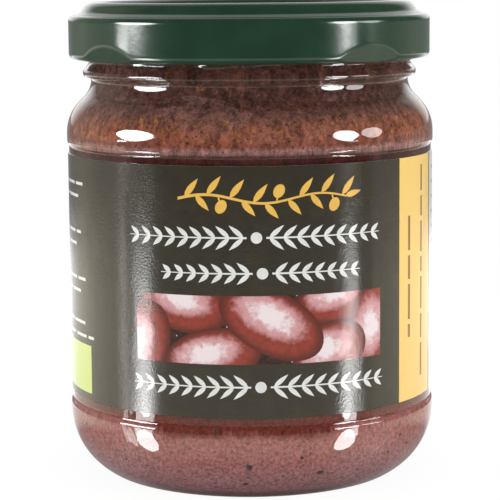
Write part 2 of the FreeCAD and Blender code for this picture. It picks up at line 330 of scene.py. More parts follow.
@dataclass(frozen=True)
class OlivePaste:
    """Coarse olive paste pressed against the glass, in zones of colour by height; the thin pale zone under
    the shoulder is a painted reflection of the glass ridge.

    A pair named for a weight gives its value in the lower and in the upper half.
    """

    zones: tuple[tuple[float, Triple], ...] = (
        (0.0, (0.440, 0.250, 0.270)),
        (5.0, (0.380, 0.180, 0.185)),
        (8.0, (0.370, 0.140, 0.128)),
        (11.4, (0.375, 0.138, 0.120)),
        (12.6, (0.180, 0.038, 0.028)),
        (17.0, (0.180, 0.038, 0.028)),
        (59.5, (0.072, 0.015, 0.012)),
        (61.75, (0.058, 0.009, 0.007)),
        # painted reflection: the pale pink zones from 62.0 to 62.8 mm stand for the glass ridge's reflection,
        # not the paste's own colour
        (62.0, (0.240, 0.110, 0.100)),
        (62.3, (0.380, 0.195, 0.175)),
        (62.5, (0.320, 0.145, 0.125)),
        (62.8, (0.220, 0.070, 0.048)),
        (63.6, (0.235, 0.072, 0.046)),
        (64.4, (0.285, 0.092, 0.054)),
        (65.6, (0.235, 0.084, 0.053)),
        (67.4, (0.160, 0.068, 0.052)),
        (69.0, (0.080, 0.032, 0.026)),
        (74.0, (0.076, 0.032, 0.026)),
        (80.0, (0.066, 0.030, 0.024)),
    )
    tallest: float = 90.0
    granule: Triple = (0.400, 0.160, 0.050)
    mauve: Triple = (0.230, 0.125, 0.115)
    speck: Triple = (0.018, 0.012, 0.010)
    half_span: Pair = (38.0, 40.0)
    shoulder_span: Pair = (62.5, 64.5)
    sway: Cloud = Cloud(6.0, 4.0, 0.6)
    sway_reach: Pair = (3.4, 0.5)
    steady_band: Triple = (57.0, 63.2, 0.6)
    front_band: Triple = (-18.0, 15.0, 3.0)
    side_drop: float = 1.6
    coarse: Cloud = Cloud(1.5, 5.0, 0.75, (1.0, 1.0, 0.8), (0.34, 0.66))
    coarse_weight: Pair = (0.10, 0.95)
    fine: Cloud = Cloud(0.55, 3.0, 0.8, EVEN, (0.30, 0.70))
    fine_weight: Pair = (0.85, 0.55)
    plain_weight: Pair = (0.52, 0.27)
    film: Cloud = Cloud(16.0, 3.0, 0.4, (1.0, 1.0, 3.6))
    film_span: Pair = (0.53, 0.55)
    film_weight: float = 0.20
    film_rim: Triple = (0.530, 0.541, 0.005)
    film_rim_band: Triple = (64.5, 74.0, 0.6)
    film_rim_weight: float = 0.45
    orange: Cloud = Cloud(1.3, 4.0, 0.65, (1.1, 1.1, 0.8), (0.56, 0.68))
    orange_band: Triple = (62.8, 67.0, 0.5)
    orange_band_weight: float = 0.75
    orange_weight: float = 0.22
    dark: Cloud = Cloud(0.60, 2.0, 0.5, EVEN, (0.640, 0.700))
    dark_weight: Pair = (0.55, 0.90)
    few: Cloud = Cloud(5.0, 2.0, 0.5, EVEN, (0.35, 0.65))
    few_weight: Pair = (0.5, 1.0)
    roughness: Pair = (0.40, 0.70)
    pit_grain: float = 0.7
    grit: Cloud = Cloud(0.5, 3.0)
    relief_depth: float = 0.22
    relief_strength: float = 0.8

    def level(self, graph: Graph, height: Wire, upper: Wire) -> Wire:
        """Give the height at which the zones are read, swaying up and down round the jar.

        Args:
            graph: The material's graph.
            height: The true height.
            upper: 1 in the paste's upper half.

        Returns:
            The swaying height in millimetres.
        """
        reach = height.band(*self.steady_band).between(*self.sway_reach)
        sway = (graph.cloud(self.sway) - 0.5) * reach
        beside = 1.0 - graph.place().part("X").band(*self.front_band)
        return height + sway - beside * (1.0 - upper) * self.side_drop

    def material(self) -> bpy.types.Material:
        """Make the paste."""
        material, graph = material_graph("olive_paste")
        height = graph.place().part("Z")
        upper = height.ramp(*self.half_span)
        shoulder = height.ramp(*self.shoulder_span)
        level = self.level(graph, height, upper)
        stops = [(place / self.tallest, colour) for place, colour in self.zones]
        colour = graph.node("ShaderNodeValToRGB", {"stops": stops}, {0: level / self.tallest})

        film = graph.cloud(self.film)
        colour = graph.mix(film.ramp(*self.film_span) * shoulder * self.film_weight, colour, self.mauve)
        film_rim = film.band(*self.film_rim) * level.band(*self.film_rim_band)
        colour = graph.mix(film_rim * self.film_rim_weight, colour, self.mauve)

        where = level.band(*self.orange_band) * self.orange_band_weight + shoulder * self.orange_weight
        colour = graph.mix(graph.cloud(self.orange) * where, colour, self.granule)

        coarse = graph.cloud(self.coarse)
        value = coarse * upper.between(*self.coarse_weight)
        value = value + graph.cloud(self.fine) * upper.between(*self.fine_weight)
        value = value + upper.between(*self.plain_weight)
        colour = graph.node("ShaderNodeHueSaturation", None, {"Color": colour, "Value": value})

        specks = graph.cloud(self.dark) * graph.cloud(self.few).between(*self.few_weight)
        colour = graph.mix(specks * upper.between(*self.dark_weight), colour, self.speck)
        relief = graph.cloud(self.grit) - graph.cells(self.pit_grain)
        graph.finish(graph.surface({
            "Base Color": colour,
            "Roughness": coarse.between(*self.roughness),
            "Specular IOR Level": 0.0,
            "Normal": graph.bump(relief, self.relief_depth, self.relief_strength),
        }))
        return material


@dataclass(frozen=True)
class OliveBit:
    """A dark, damp scrap of olive skin."""

    dark: Triple = (0.055, 0.034, 0.032)
    pale: Triple = (0.150, 0.105, 0.100)
    patches: Cloud = Cloud(0.8, 3.0)
    patch_span: Pair = (0.4, 0.7)
    roughness: Pair = (0.3, 0.6)
    gloss: float = 0.1
    relief_depth: float = 0.1

    def material(self) -> bpy.types.Material:
        """Make the scrap."""
        material, graph = material_graph("olive_skin")
        patches = graph.cloud(self.patches)
        graph.finish(graph.surface({
            "Base Color": graph.mix(patches.ramp(*self.patch_span), self.dark, self.pale),
            "Roughness": patches.between(*self.roughness),
            "Specular IOR Level": self.gloss,
            "Normal": graph.bump(patches, self.relief_depth),
        }))
        return material


class Ink(Enum):
    """What covers one region of the label."""

    FIELD = "label_field"
    WHITE = "label_white_ink"
    ORNAMENT = "label_yellow_ornament"
    STRIP = "label_yellow_strip"
    PANEL = "label_white_panel"
    BROWN = "label_brown_print"
    BLACK = "label_dark_print"
    GREEN = "label_green_field"
    PICTURE = "label_picture_ground"
    OLIVE = "label_picture_olive"
    EDGE = "label_paper_edge"


@dataclass(frozen=True)
class PrintedPaper:
    """Varnished paper under one ink, with the fine wrinkles of a pasted wrap."""

    ink: Ink
    colour: Triple
    worn: Triple
    wear: Cloud = Cloud(3.0, 5.0, 0.75, EVEN, (0.35, 0.85))
    wrinkles: Cloud = Cloud(4.0, 1.0, 0.5, (1.0, 1.0, 0.45))
    wrinkle_depth: float = 0.060
    fibre: Cloud = Cloud(0.38, 2.0)
    fibre_depth: float = 0.017
    roughness: Pair = (0.08, 0.20)

    def shade(self, graph: Graph) -> Wire:
        """Give the ink's colour with its slight wear."""
        return graph.mix(graph.cloud(self.wear), self.colour, self.worn)

    def material(self) -> bpy.types.Material:
        """Make the printed paper."""
        material, graph = material_graph(self.ink.value)
        fibre = graph.cloud(self.fibre)
        relief = graph.cloud(self.wrinkles) + fibre * (self.fibre_depth / self.wrinkle_depth)
        graph.finish(graph.surface({
            "Base Color": self.shade(graph),
            "Roughness": fibre.between(*self.roughness),
            "Specular IOR Level": PLAIN_GLOSS,
            "Normal": graph.bump(relief, self.wrinkle_depth),
        }))
        return material


@dataclass(frozen=True)
class PrintedOlive(PrintedPaper):
    """A printed olive: maroon skin, darker at its rim, with a broad pale shine."""

    mottle: Cloud = Cloud(1.0, 4.0, 0.5, EVEN, (0.3, 0.7))
    rim: Triple = (0.110, 0.020, 0.014)
    rim_span: Pair = (0.72, 1.0)
    shine: Triple = (0.760, 0.400, 0.420)
    shine_middle: Pair = (-0.08, 0.16)
    shine_reach: Pair = (0.74, 0.64)
    shine_span: Pair = (1.08, 0.70)
    shine_weight: float = 0.85
    core: Triple = (0.960, 0.840, 0.860)
    core_span: Pair = (0.70, 0.28)
    core_weight: float = 0.95
    rag: Cloud = Cloud(1.4, 4.0, 0.7)
    rag_reach: float = 0.55

    def shade(self, graph: Graph) -> Wire:
        """Give the olive's colour from its own length and breadth.

        Args:
            graph: The material's graph.

        Returns:
            The colour.
        """
        own = graph.node("ShaderNodeUVMap", {"uv_map": "print"})
        length, breadth = own.part("X"), own.part("Y")
        rag = (graph.cloud(self.rag) - 0.5) * self.rag_reach
        skin = graph.mix(graph.cloud(self.mottle), self.colour, self.worn)
        reach = (length * length + breadth * breadth).root()
        skin = graph.mix(reach.ramp(*self.rim_span), skin, self.rim)
        across = (length - self.shine_middle[0]) / self.shine_reach[0]
        along = (breadth - self.shine_middle[1]) / self.shine_reach[1]
        glow = (across * across + along * along).root() + rag
        skin = graph.mix(glow.ramp(*self.shine_span) * self.shine_weight, skin, self.shine)
        return graph.mix((glow + rag).ramp(*self.core_span) * self.core_weight, skin, self.core)


@dataclass(frozen=True)
class PrintedGround(PrintedPaper):
    """The dark liquor between the printed olives, with small sparkles."""

    mottle: Cloud = Cloud(1.6, 4.0, 0.5, EVEN, (0.42, 0.72))
    sparkle: Triple = (0.75, 0.62, 0.60)
    sparkle_grain: float = 0.8
    sparkle_span: Pair = (0.26, 0.14)
    chosen_span: Pair = (0.72, 0.78)

    def shade(self, graph: Graph) -> Wire:
        """Give the ground's colour with its sparkles.

        Args:
            graph: The material's graph.

        Returns:
            The colour.
        """
        ground = graph.mix(graph.cloud(self.mottle), self.colour, self.worn)
        dots = graph.cells(self.sparkle_grain).ramp(*self.sparkle_span)
        colour = graph.cells(self.sparkle_grain, "Color")
        chosen = graph.node("ShaderNodeSeparateColor", None, {0: colour}).ramp(*self.chosen_span)
        return graph.mix(dots * chosen, ground, self.sparkle)


PAPERS: tuple[PrintedPaper, ...] = (
    PrintedPaper(Ink.FIELD, (0.031, 0.026, 0.017), (0.043, 0.037, 0.024)),
    PrintedPaper(Ink.WHITE, (0.86, 0.87, 0.84), (0.72, 0.73, 0.70)),
    PrintedPaper(Ink.ORNAMENT, (0.92, 0.56, 0.11), (0.82, 0.47, 0.09)),
    PrintedPaper(Ink.STRIP, (0.95, 0.65, 0.185), (0.92, 0.62, 0.18)),
    PrintedPaper(Ink.PANEL, (0.82, 0.82, 0.80), (0.74, 0.74, 0.72)),
    PrintedPaper(Ink.BROWN, (0.27, 0.13, 0.03), (0.34, 0.17, 0.05)),
    PrintedPaper(Ink.BLACK, (0.030, 0.030, 0.028), (0.06, 0.06, 0.055)),
    PrintedPaper(Ink.GREEN, (0.66, 0.78, 0.22), (0.72, 0.82, 0.28)),
    PrintedGround(Ink.PICTURE, (0.022, 0.006, 0.006), (0.075, 0.020, 0.018)),
    PrintedOlive(Ink.OLIVE, (0.34, 0.045, 0.035), (0.24, 0.040, 0.022)),
    PrintedPaper(Ink.EDGE, (0.80, 0.79, 0.74), (0.70, 0.69, 0.64)),
)


# ------------------------------------------------------------------ making meshes


class Bend(Enum):
    """Which way an arc turns as the outline is walked."""

    LEFT = 1
    RIGHT = -1


class Outline:
    """A half section in radius and height, in millimetres, walked along runs and arcs."""

    ARC_STEP = math.radians(6.0)

    def __init__(self, radius: float, height: float, spacing: float) -> None:
        """Start the outline.

        Args:
            radius: The first point's radius.
            height: The first point's height.
            spacing: The longest step along a run or an arc.
        """
        self.points: list[Pair] = [(radius, height)]
        self.spacing = spacing

    def run(self, radius: float, height: float) -> "Outline":
        """Walk straight on.

        Args:
            radius: The end's radius.
            height: The end's height.

        Returns:
            The outline itself.
        """
        start = np.array(self.points[-1])
        end = np.array((radius, height))
        steps = max(1, math.ceil(float(np.linalg.norm(end - start)) / self.spacing))
        for share in np.linspace(0.0, 1.0, steps + 1)[1:]:
            self.points.append(tuple(start + share * (end - start)))
        return self

    def arc(self, radius: float, height: float, bend_radius: float, bend: Bend) -> "Outline":
        """Walk round an arc of less than half a turn.

        Args:
            radius: The end's radius.
            height: The end's height.
            bend_radius: The arc's own radius.
            bend: Which way it turns.

        Returns:
            The outline itself.
        """
        start = np.array(self.points[-1])
        end = np.array((radius, height))
        chord = end - start
        half = float(np.linalg.norm(chord)) / 2
        left = np.array((-chord[1], chord[0])) / (2 * half)
        centre = (start + end) / 2 + bend.value * left * math.sqrt(max(bend_radius**2 - half**2, 0.0))
        turn = 2 * math.asin(min(1.0, half / bend_radius))
        steps = max(2, math.ceil(turn / self.ARC_STEP), math.ceil(turn * bend_radius / self.spacing))
        spoke = start - centre
        for share in np.linspace(0.0, 1.0, steps + 1)[1:]:
            angle = bend.value * turn * share
            cos, sin = math.cos(angle), math.sin(angle)
            self.points.append((
                centre[0] + cos * spoke[0] - sin * spoke[1],
                centre[1] + sin * spoke[0] + cos * spoke[1],
            ))
        return self

    def step(self, radius: float, rise: float) -> "Outline":
        """Carry an upright wall to another radius with two tangent bends.

        Args:
            radius: The new radius.
            rise: How far up the bends reach together.

        Returns:
            The outline itself.
        """
        start_radius, start_height = self.points[-1]
        change = abs(radius - start_radius)
        bend_radius = (change**2 + rise**2) / (4 * change)
        first, second = (Bend.RIGHT, Bend.LEFT) if radius > start_radius else (Bend.LEFT, Bend.RIGHT)
        self.arc((start_radius + radius) / 2, start_height + rise / 2, bend_radius, first)
        return self.arc(radius, start_height + rise, bend_radius, second)


Rings = tuple[np.ndarray, np.ndarray]
Shaping = Callable[[np.ndarray, np.ndarray, np.ndarray], Rings]


def mesh_object(name: str, points: np.ndarray, faces: list[tuple[int, ...]]) -> bpy.types.Object:
    """Make an object from points in millimetres.

    Args:
        name: The piece's name.
        points: Its corners.
        faces: Its faces, as numbers of corners.

    Returns:
        The object, linked to the scene.
    """
    mesh = bpy.data.meshes.new(name)
    mesh.from_pydata((points * MM).tolist(), [], faces)
    mesh.validate()
    mesh.shade_smooth()
    made = bpy.data.objects.new(name, mesh)
    bpy.context.scene.collection.objects.link(made)
    return made


def cylinder_places(radius: np.ndarray, height: np.ndarray, azimuth: np.ndarray) -> np.ndarray:
    """Turn radius, height and azimuth into places."""
    angle = np.radians(azimuth)
    return np.stack((radius * np.sin(angle), -radius * np.cos(angle), height), axis=-1)


def turned_solid(
    name: str, outline: Outline, segments: int, shaping: Shaping | None = None
) -> bpy.types.Object:
    """Turn a half section that starts and ends on the axis into a closed solid.

    Args:
        name: The piece's name.
        outline: The half section, walked so that the solid is on its left.
        segments: How many steps go round.
        shaping: What moves the radius and height, from radius, height and azimuth.

    Returns:
        The solid.
    """
    section = np.array(outline.points)
    rows = section[1:-1]
    azimuth = np.arange(segments) * FULL_TURN / segments
    radius, turn = np.meshgrid(rows[:, 0], azimuth, indexing="ij")
    height = np.meshgrid(rows[:, 1], azimuth, indexing="ij")[0]
    if shaping:
        radius, height = shaping(radius, height, turn)
    ring = cylinder_places(radius, height, turn).reshape(-1, 3)
    points = np.vstack((ring, (0.0, 0.0, section[0, 1]), (0.0, 0.0, section[-1, 1])))
    first, last = len(ring), len(ring) + 1
    around = np.arange(segments)
    beyond = (around + 1) % segments
    around_top = (len(rows) - 1) * segments + around
    beyond_top = (len(rows) - 1) * segments + beyond
    faces: list[tuple[int, ...]] = []
    for row in range(len(rows) - 1):
        low, high = row * segments, (row + 1) * segments
        faces.extend(zip(low + around, low + beyond, high + beyond, high + around))
    faces.extend((first, two, one) for one, two in zip(around, beyond))
    faces.extend((one, two, last) for one, two in zip(around_top, beyond_top))
    return mesh_object(name, points, [tuple(int(corner) for corner in face) for face in faces])


def smooth_noise(points: np.ndarray, grain: float, seed: float) -> np.ndarray:
    """Read soft noise from -1 to 1 at many points.

    Args:
        points: The places in millimetres, three numbers each.
        grain: The size of its patches in millimetres.
        seed: A shift that makes it another noise.

    Returns:
        One value a point, in the points' own layout.
    """
    flat = points.reshape(-1, 3) / grain + seed
    values = [noise.noise(Vector(place)) for place in flat]
    return np.array(values).reshape(points.shape[:-1])


def settle(piece: bpy.types.Object, node: str | None, slot: str, *materials: bpy.types.Material) -> None:
    """Dress a piece and tie it to the frame.

    Args:
        piece: The piece.
        node: The CAD node that it stands for, if it does.
        slot: Not used.
        materials: Its materials.
    """
    for material in materials:
        piece.data.materials.append(material)
    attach(piece, "root")
    if node:
        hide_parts(node)
    log.info("%s: %d faces", piece.name, len(piece.data.polygons))


# ------------------------------------------------------------------ the jar


@dataclass
class GlassJar:
    """The glass jar: domed foot, wide heel, recessed panel, shoulder, bead and threaded neck."""

    foot_width: float = 1.5
    push_up: float = 2.2
    heel_small_round: float = 3.5
    heel_large_round: float = 13.5
    heel_turn: float = 60.0
    heel_band: float = 0.85
    jar_radius: float = 34.2
    panel_depth: float = 0.5
    panel_step_rise: float = 1.5
    panel_height: float = 46.5
    ridge_out: float = 0.35
    ridge_step_rise: float = 1.2
    ridge_band: float = 1.3
    shoulder_round: float = 8.0
    shoulder_slope: float = 45.0
    neck_blend: float = 4.7
    groove_depth: float = 0.35
    bead_out: float = 1.5
    bead_lift: float = 1.14
    bead_round: float = 0.9
    bead_turn: float = 60.0
    neck_radius: float = 29.75
    neck_foot_lift: float = 1.85
    finish_height: float = 12.89
    rim_outer_round: float = 1.1
    rim_inner_round: float = 0.6
    thread_count: int = 4
    thread_depth: float = 1.0
    thread_root: float = 2.0
    thread_crest: float = 0.9
    thread_lead: float = 14.0
    thread_arc: float = 98.0
    thread_azimuth: float = -18.0
    thread_height: float = 77.14
    thread_fade: float = 5.0
    thread_steps: int = 3
    wall: float = 2.5
    floor_thickness: float = 3.5
    floor_round: float = 7.0
    inner_shoulder_round: float = 5.5
    inner_neck_round: float = 6.5
    neck_wall: float = 2.35
    unevenness: float = 0.05
    uneven_grain: float = 11.0
    uneven_seed: float = 3.7
    touch: float = 0.001
    segments: int = 288
    spacing: float = 1.0
    inner_spacing: float = 2.0
    glass: ClearGlass = field(default_factory=ClearGlass)

    def __post_init__(self) -> None:
        """Work out the radii and heights that several outlines share."""
        slope = math.radians(self.shoulder_slope)
        turn = math.radians(self.heel_turn)
        flat = 1 - math.cos(slope)
        drop = self.heel_large_round - self.heel_small_round
        self.panel_radius = self.jar_radius - self.panel_depth
        self.ridge_radius = self.panel_radius + self.ridge_out
        self.groove_radius = self.neck_radius - self.groove_depth
        self.bore_radius = self.neck_radius - self.neck_wall
        self.heel_centre_radius = self.jar_radius - self.heel_large_round
        self.heel_height = drop * math.sin(turn) + self.heel_small_round
        self.foot_radius = self.heel_centre_radius + drop * math.cos(turn)
        self.panel_foot = self.heel_height + self.heel_band + self.panel_step_rise
        self.panel_head = self.panel_foot + self.panel_height
        self.shoulder_foot = self.panel_head + self.ridge_step_rise + self.ridge_band
        self.slope_foot = self.shoulder_foot + self.shoulder_round * math.sin(slope)
        bends = (self.shoulder_round + self.neck_blend) * flat
        self.slope_head = self.slope_foot + (self.ridge_radius - self.groove_radius - bends) * math.tan(slope)
        self.groove_height = self.slope_head + self.neck_blend * math.sin(slope)
        self.bead_height = self.groove_height + self.bead_lift
        bead_back = self.bead_round * (1 - math.cos(math.radians(self.bead_turn)))
        self.bead_edge_radius = self.groove_radius + self.bead_out - bead_back
        self.rim_height = self.groove_height + self.finish_height
        self.inner_radius = self.panel_radius - self.wall
        inner_bends = (self.inner_shoulder_round + self.inner_neck_round) * flat
        self.inner_slope_foot = self.shoulder_foot + self.inner_shoulder_round * math.sin(slope)
        inner_run = self.inner_radius - self.bore_radius - inner_bends
        self.inner_slope_head = self.inner_slope_foot + inner_run * math.tan(slope)
        self.thread_radius = self.neck_radius + self.thread_depth

    def dome(self, edge: float) -> float:
        """Give the radius of the shallow dome that rises by the push-up over a disc."""
        return (edge**2 + self.push_up**2) / (2 * self.push_up)

    def outside(self) -> Outline:
        """Draw the outside from the middle of the base to the rim."""
        slope = math.radians(self.shoulder_slope)
        turn = math.radians(self.heel_turn)
        flat = 1 - math.cos(slope)
        foot_inner = self.foot_radius - self.foot_width
        bead_rise = self.bead_round * math.sin(math.radians(self.bead_turn))
        line = Outline(0.0, self.push_up, self.spacing)
        line.arc(foot_inner, 0.0, self.dome(foot_inner), Bend.RIGHT)
        line.run(self.foot_radius, 0.0)
        line.arc(
            self.heel_centre_radius + self.heel_large_round * math.cos(turn),
            self.heel_height - self.heel_large_round * math.sin(turn),
            self.heel_small_round,
            Bend.LEFT,
        )
        line.arc(self.jar_radius, self.heel_height, self.heel_large_round, Bend.LEFT)
        line.run(self.jar_radius, self.heel_height + self.heel_band)
        line.step(self.panel_radius, self.panel_step_rise)
        line.run(self.panel_radius, self.panel_head)
        line.step(self.ridge_radius, self.ridge_step_rise)
        line.run(self.ridge_radius, self.shoulder_foot)
        shoulder_edge = self.ridge_radius - self.shoulder_round * flat
        line.arc(shoulder_edge, self.slope_foot, self.shoulder_round, Bend.LEFT)
        line.run(self.groove_radius + self.neck_blend * flat, self.slope_head)
        line.arc(self.groove_radius, self.groove_height, self.neck_blend, Bend.RIGHT)
        line.run(self.bead_edge_radius, self.bead_height - bead_rise)
        line.arc(self.bead_edge_radius, self.bead_height + bead_rise, self.bead_round, Bend.LEFT)
        line.run(self.neck_radius, self.bead_height + self.neck_foot_lift)
        line.spacing = self.thread_crest / self.thread_steps
        line.run(self.neck_radius, self.rim_height - self.rim_outer_round)
        line.spacing = self.spacing
        rim_edge = self.neck_radius - self.rim_outer_round
        return line.arc(rim_edge, self.rim_height, self.rim_outer_round, Bend.LEFT)

    def inside(self, top: float, spacing: float) -> Outline:
        """Draw the inside from the middle of the floor up to a height in the bore.

        Args:
            top: The height where it ends.
            spacing: The longest step along it.

        Returns:
            The outline.
        """
        slope = math.radians(self.shoulder_slope)
        flat = 1 - math.cos(slope)
        floor_edge = self.inner_radius - self.floor_round
        inner_edge = self.inner_radius - self.inner_shoulder_round * flat
        bore_foot = self.inner_slope_head + self.inner_neck_round * math.sin(slope)
        line = Outline(0.0, self.floor_thickness + self.push_up, spacing)
        line.arc(floor_edge, self.floor_thickness, self.dome(floor_edge), Bend.RIGHT)
        line.arc(self.inner_radius, self.floor_thickness + self.floor_round, self.floor_round, Bend.LEFT)
        line.run(self.inner_radius, self.shoulder_foot)
        line.arc(inner_edge, self.inner_slope_foot, self.inner_shoulder_round, Bend.LEFT)
        line.run(self.bore_radius + self.inner_neck_round * flat, self.inner_slope_head)
        line.arc(self.bore_radius, bore_foot, self.inner_neck_round, Bend.RIGHT)
        return line.run(self.bore_radius, top)

    def thread_relief(self, height: np.ndarray, azimuth: np.ndarray) -> np.ndarray:
        """Say how far the threads stand out of the neck.

        Args:
            height: The heights.
            azimuth: The azimuths.

        Returns:
            The relief in millimetres.
        """
        relief = np.zeros_like(height)
        flank = (self.thread_root - self.thread_crest) / 2
        for start in range(self.thread_count):
            along = (azimuth - self.thread_azimuth - start * FULL_TURN / self.thread_count) % FULL_TURN
            off = np.abs(height - self.thread_height - self.thread_lead * along / FULL_TURN)
            section = np.clip((self.thread_root / 2 - off) / flank, 0.0, 1.0)
            ends = np.clip(np.minimum(along, self.thread_arc - along) / self.thread_fade, 0.0, 1.0)
            relief = np.maximum(relief, section * ends * self.thread_depth)
        return relief

    def shaping(self, radius: np.ndarray, height: np.ndarray, azimuth: np.ndarray) -> Rings:
        """Raise the threads and leave the slight unevenness of blown glass.

        Args:
            radius: The radii.
            height: The heights.
            azimuth: The azimuths.

        Returns:
            The new radii and heights.
        """
        above_bead = height > self.bead_height + self.bead_round
        on_neck = (radius > self.neck_radius - self.touch) & above_bead
        radius = radius + np.where(on_neck, self.thread_relief(height, azimuth), 0.0)
        places = cylinder_places(radius, height, azimuth)
        uneven = smooth_noise(places, self.uneven_grain, self.uneven_seed)
        outer = np.clip((radius - self.foot_radius) / self.foot_width, 0.0, 1.0)
        return radius - outer * self.unevenness * (0.5 + 0.5 * uneven), height

    def build(self) -> bpy.types.Object:
        """Make the jar."""
        line = self.outside()
        bore_top = self.rim_height - self.rim_inner_round
        line.run(self.bore_radius + self.rim_inner_round, self.rim_height)
        line.arc(self.bore_radius, bore_top, self.rim_inner_round, Bend.LEFT)
        line.points.extend(reversed(self.inside(bore_top, self.inner_spacing).points[:-1]))
        piece = turned_solid("glass_jar", line, self.segments, self.shaping)
        settle(piece, "jar", "glass", self.glass.material())
        return piece


# ------------------------------------------------------------------ the lid


@dataclass
class TwistLid:
    """The pressed twist-off lid: rolled edge with lugs, arched flats, skirt, shelf and raised ring."""

    jar: GlassJar
    sheet: float = 0.25
    lid_clearance: float = 0.25
    curl_round: float = 1.2
    curl_lift: float = 3.7
    corner_in: float = 1.1
    corner_rise: float = 0.85
    corner_round: float = 1.15
    corner_below_rim: float = 2.1
    shelf_width: float = 1.25
    shelf_rise: float = 0.6
    ring_wall_in: float = 0.6
    ring_width: float = 3.6
    ring_depth: float = 1.196
    lug_count: int = 4
    lug_azimuth: float = 40.0
    lug_thickness: float = 0.7
    lug_reach: float = 0.9
    lug_margin: float = 0.1
    facet_height: float = 2.9
    facet_depth: float = 1.05
    facet_blend: float = 0.06
    blend_limit: float = 30.0
    segments: int = 384
    spacing: float = 0.4
    under_spacing: float = 3.0
    top_spacing: float = 2.0
    lacquer: GreenLacquer = field(default_factory=GreenLacquer)

    def __post_init__(self) -> None:
        """Work out the lid's radii and heights from the jar's neck."""
        self.curl_bore = self.jar.thread_radius + self.lid_clearance
        self.curl_radius = self.curl_bore + self.curl_round
        self.lid_radius = self.curl_bore + 2 * self.curl_round
        self.curl_height = self.jar.bead_height + self.curl_lift
        self.lid_foot = self.curl_height - self.curl_round
        self.corner_height = self.jar.rim_height - self.corner_below_rim
        self.shelf_height = self.corner_height + self.corner_rise
        self.shelf_radius = self.lid_radius - self.corner_in - self.shelf_width
        self.ring_radius = self.shelf_radius - self.ring_wall_in
        self.lug_radius = self.curl_bore - self.lug_reach
        self.lug_half_angle = math.degrees(math.acos(self.lug_radius / self.curl_bore))

    def outline(self) -> Outline:
        """Draw the lid's section, underside first and back over its top."""
        rim = self.jar.rim_height
        skirt = self.lid_radius - self.sheet
        panel = rim + self.sheet
        crown = self.ring_depth - self.sheet
        ring_round = ((self.ring_width / 2) ** 2 + crown**2) / (2 * crown)
        inner_shelf = self.shelf_height + self.shelf_rise - self.sheet
        inner_corner = self.lid_radius - self.corner_in - self.sheet / 2
        inner_round = self.corner_round - self.sheet / 2
        line = Outline(0.0, rim, self.under_spacing)
        line.run(self.ring_radius - self.sheet, rim)
        line.run(self.shelf_radius - self.sheet, inner_shelf)
        line.run(inner_corner, self.shelf_height - self.sheet)
        line.arc(skirt, self.corner_height - self.sheet, inner_round, Bend.RIGHT)
        line.run(skirt, self.curl_height + self.curl_round)
        line.spacing = self.spacing
        line.run(self.curl_radius, self.curl_height + self.curl_round)
        line.arc(self.curl_bore, self.curl_height, self.curl_round, Bend.LEFT)
        line.arc(self.curl_radius, self.lid_foot, self.curl_round, Bend.LEFT)
        line.arc(self.lid_radius, self.curl_height, self.curl_round, Bend.LEFT)
        line.run(self.lid_radius, self.corner_height)
        corner_edge = self.lid_radius - self.corner_in
        line.arc(corner_edge, self.shelf_height, self.corner_round, Bend.LEFT)
        line.run(self.shelf_radius, self.shelf_height + self.shelf_rise)
        line.run(self.ring_radius, panel)
        line.arc(self.ring_radius - self.ring_width, panel, ring_round, Bend.LEFT)
        line.spacing = self.top_spacing
        return line.run(0.0, panel)

    def off_lug(self, azimuth: np.ndarray) -> np.ndarray:
        """Give how many degrees each azimuth lies from the nearest lug's middle."""
        pitch = FULL_TURN / self.lug_count
        return (azimuth - self.lug_azimuth + pitch / 2) % pitch - pitch / 2

    def shaping(self, radius: np.ndarray, height: np.ndarray, azimuth: np.ndarray) -> Rings:
        """Press the arched flats into the skirt's foot and push the lugs inwards.

        Args:
            radius: The radii.
            height: The heights.
            azimuth: The azimuths.

        Returns:
            The new radii and heights.
        """
        off = self.off_lug(azimuth)
        above = (height - self.lid_foot) / self.facet_height
        plane = (self.lid_radius - self.facet_depth * (1 - above)) / np.cos(np.radians(off))
        outer = (radius > self.curl_radius) & (above < 1.0)
        gap = np.clip((radius - plane) / self.facet_blend, -self.blend_limit, self.blend_limit)
        softened = radius - self.facet_blend * np.log1p(np.exp(gap))
        radius = np.where(outer, softened, radius)
        near = np.clip(1 - (np.abs(off) / self.lug_half_angle) ** 2, 0.0, 1.0) ** 0.5
        low = height < self.lid_foot + self.lug_thickness
        low &= (radius < self.curl_radius) & (radius > self.curl_bore - self.lug_margin)
        pushed = radius - near * (self.curl_radius - radius) / self.curl_round * self.lug_reach
        return np.where(low, pushed, radius), height

    def build(self) -> bpy.types.Object:
        """Make the lid."""
        piece = turned_solid("twist_lid", self.outline(), self.segments, self.shaping)
        settle(piece, "lid", "lid_lacquer", self.lacquer.material())
        return piece


# ------------------------------------------------------------------ the paste


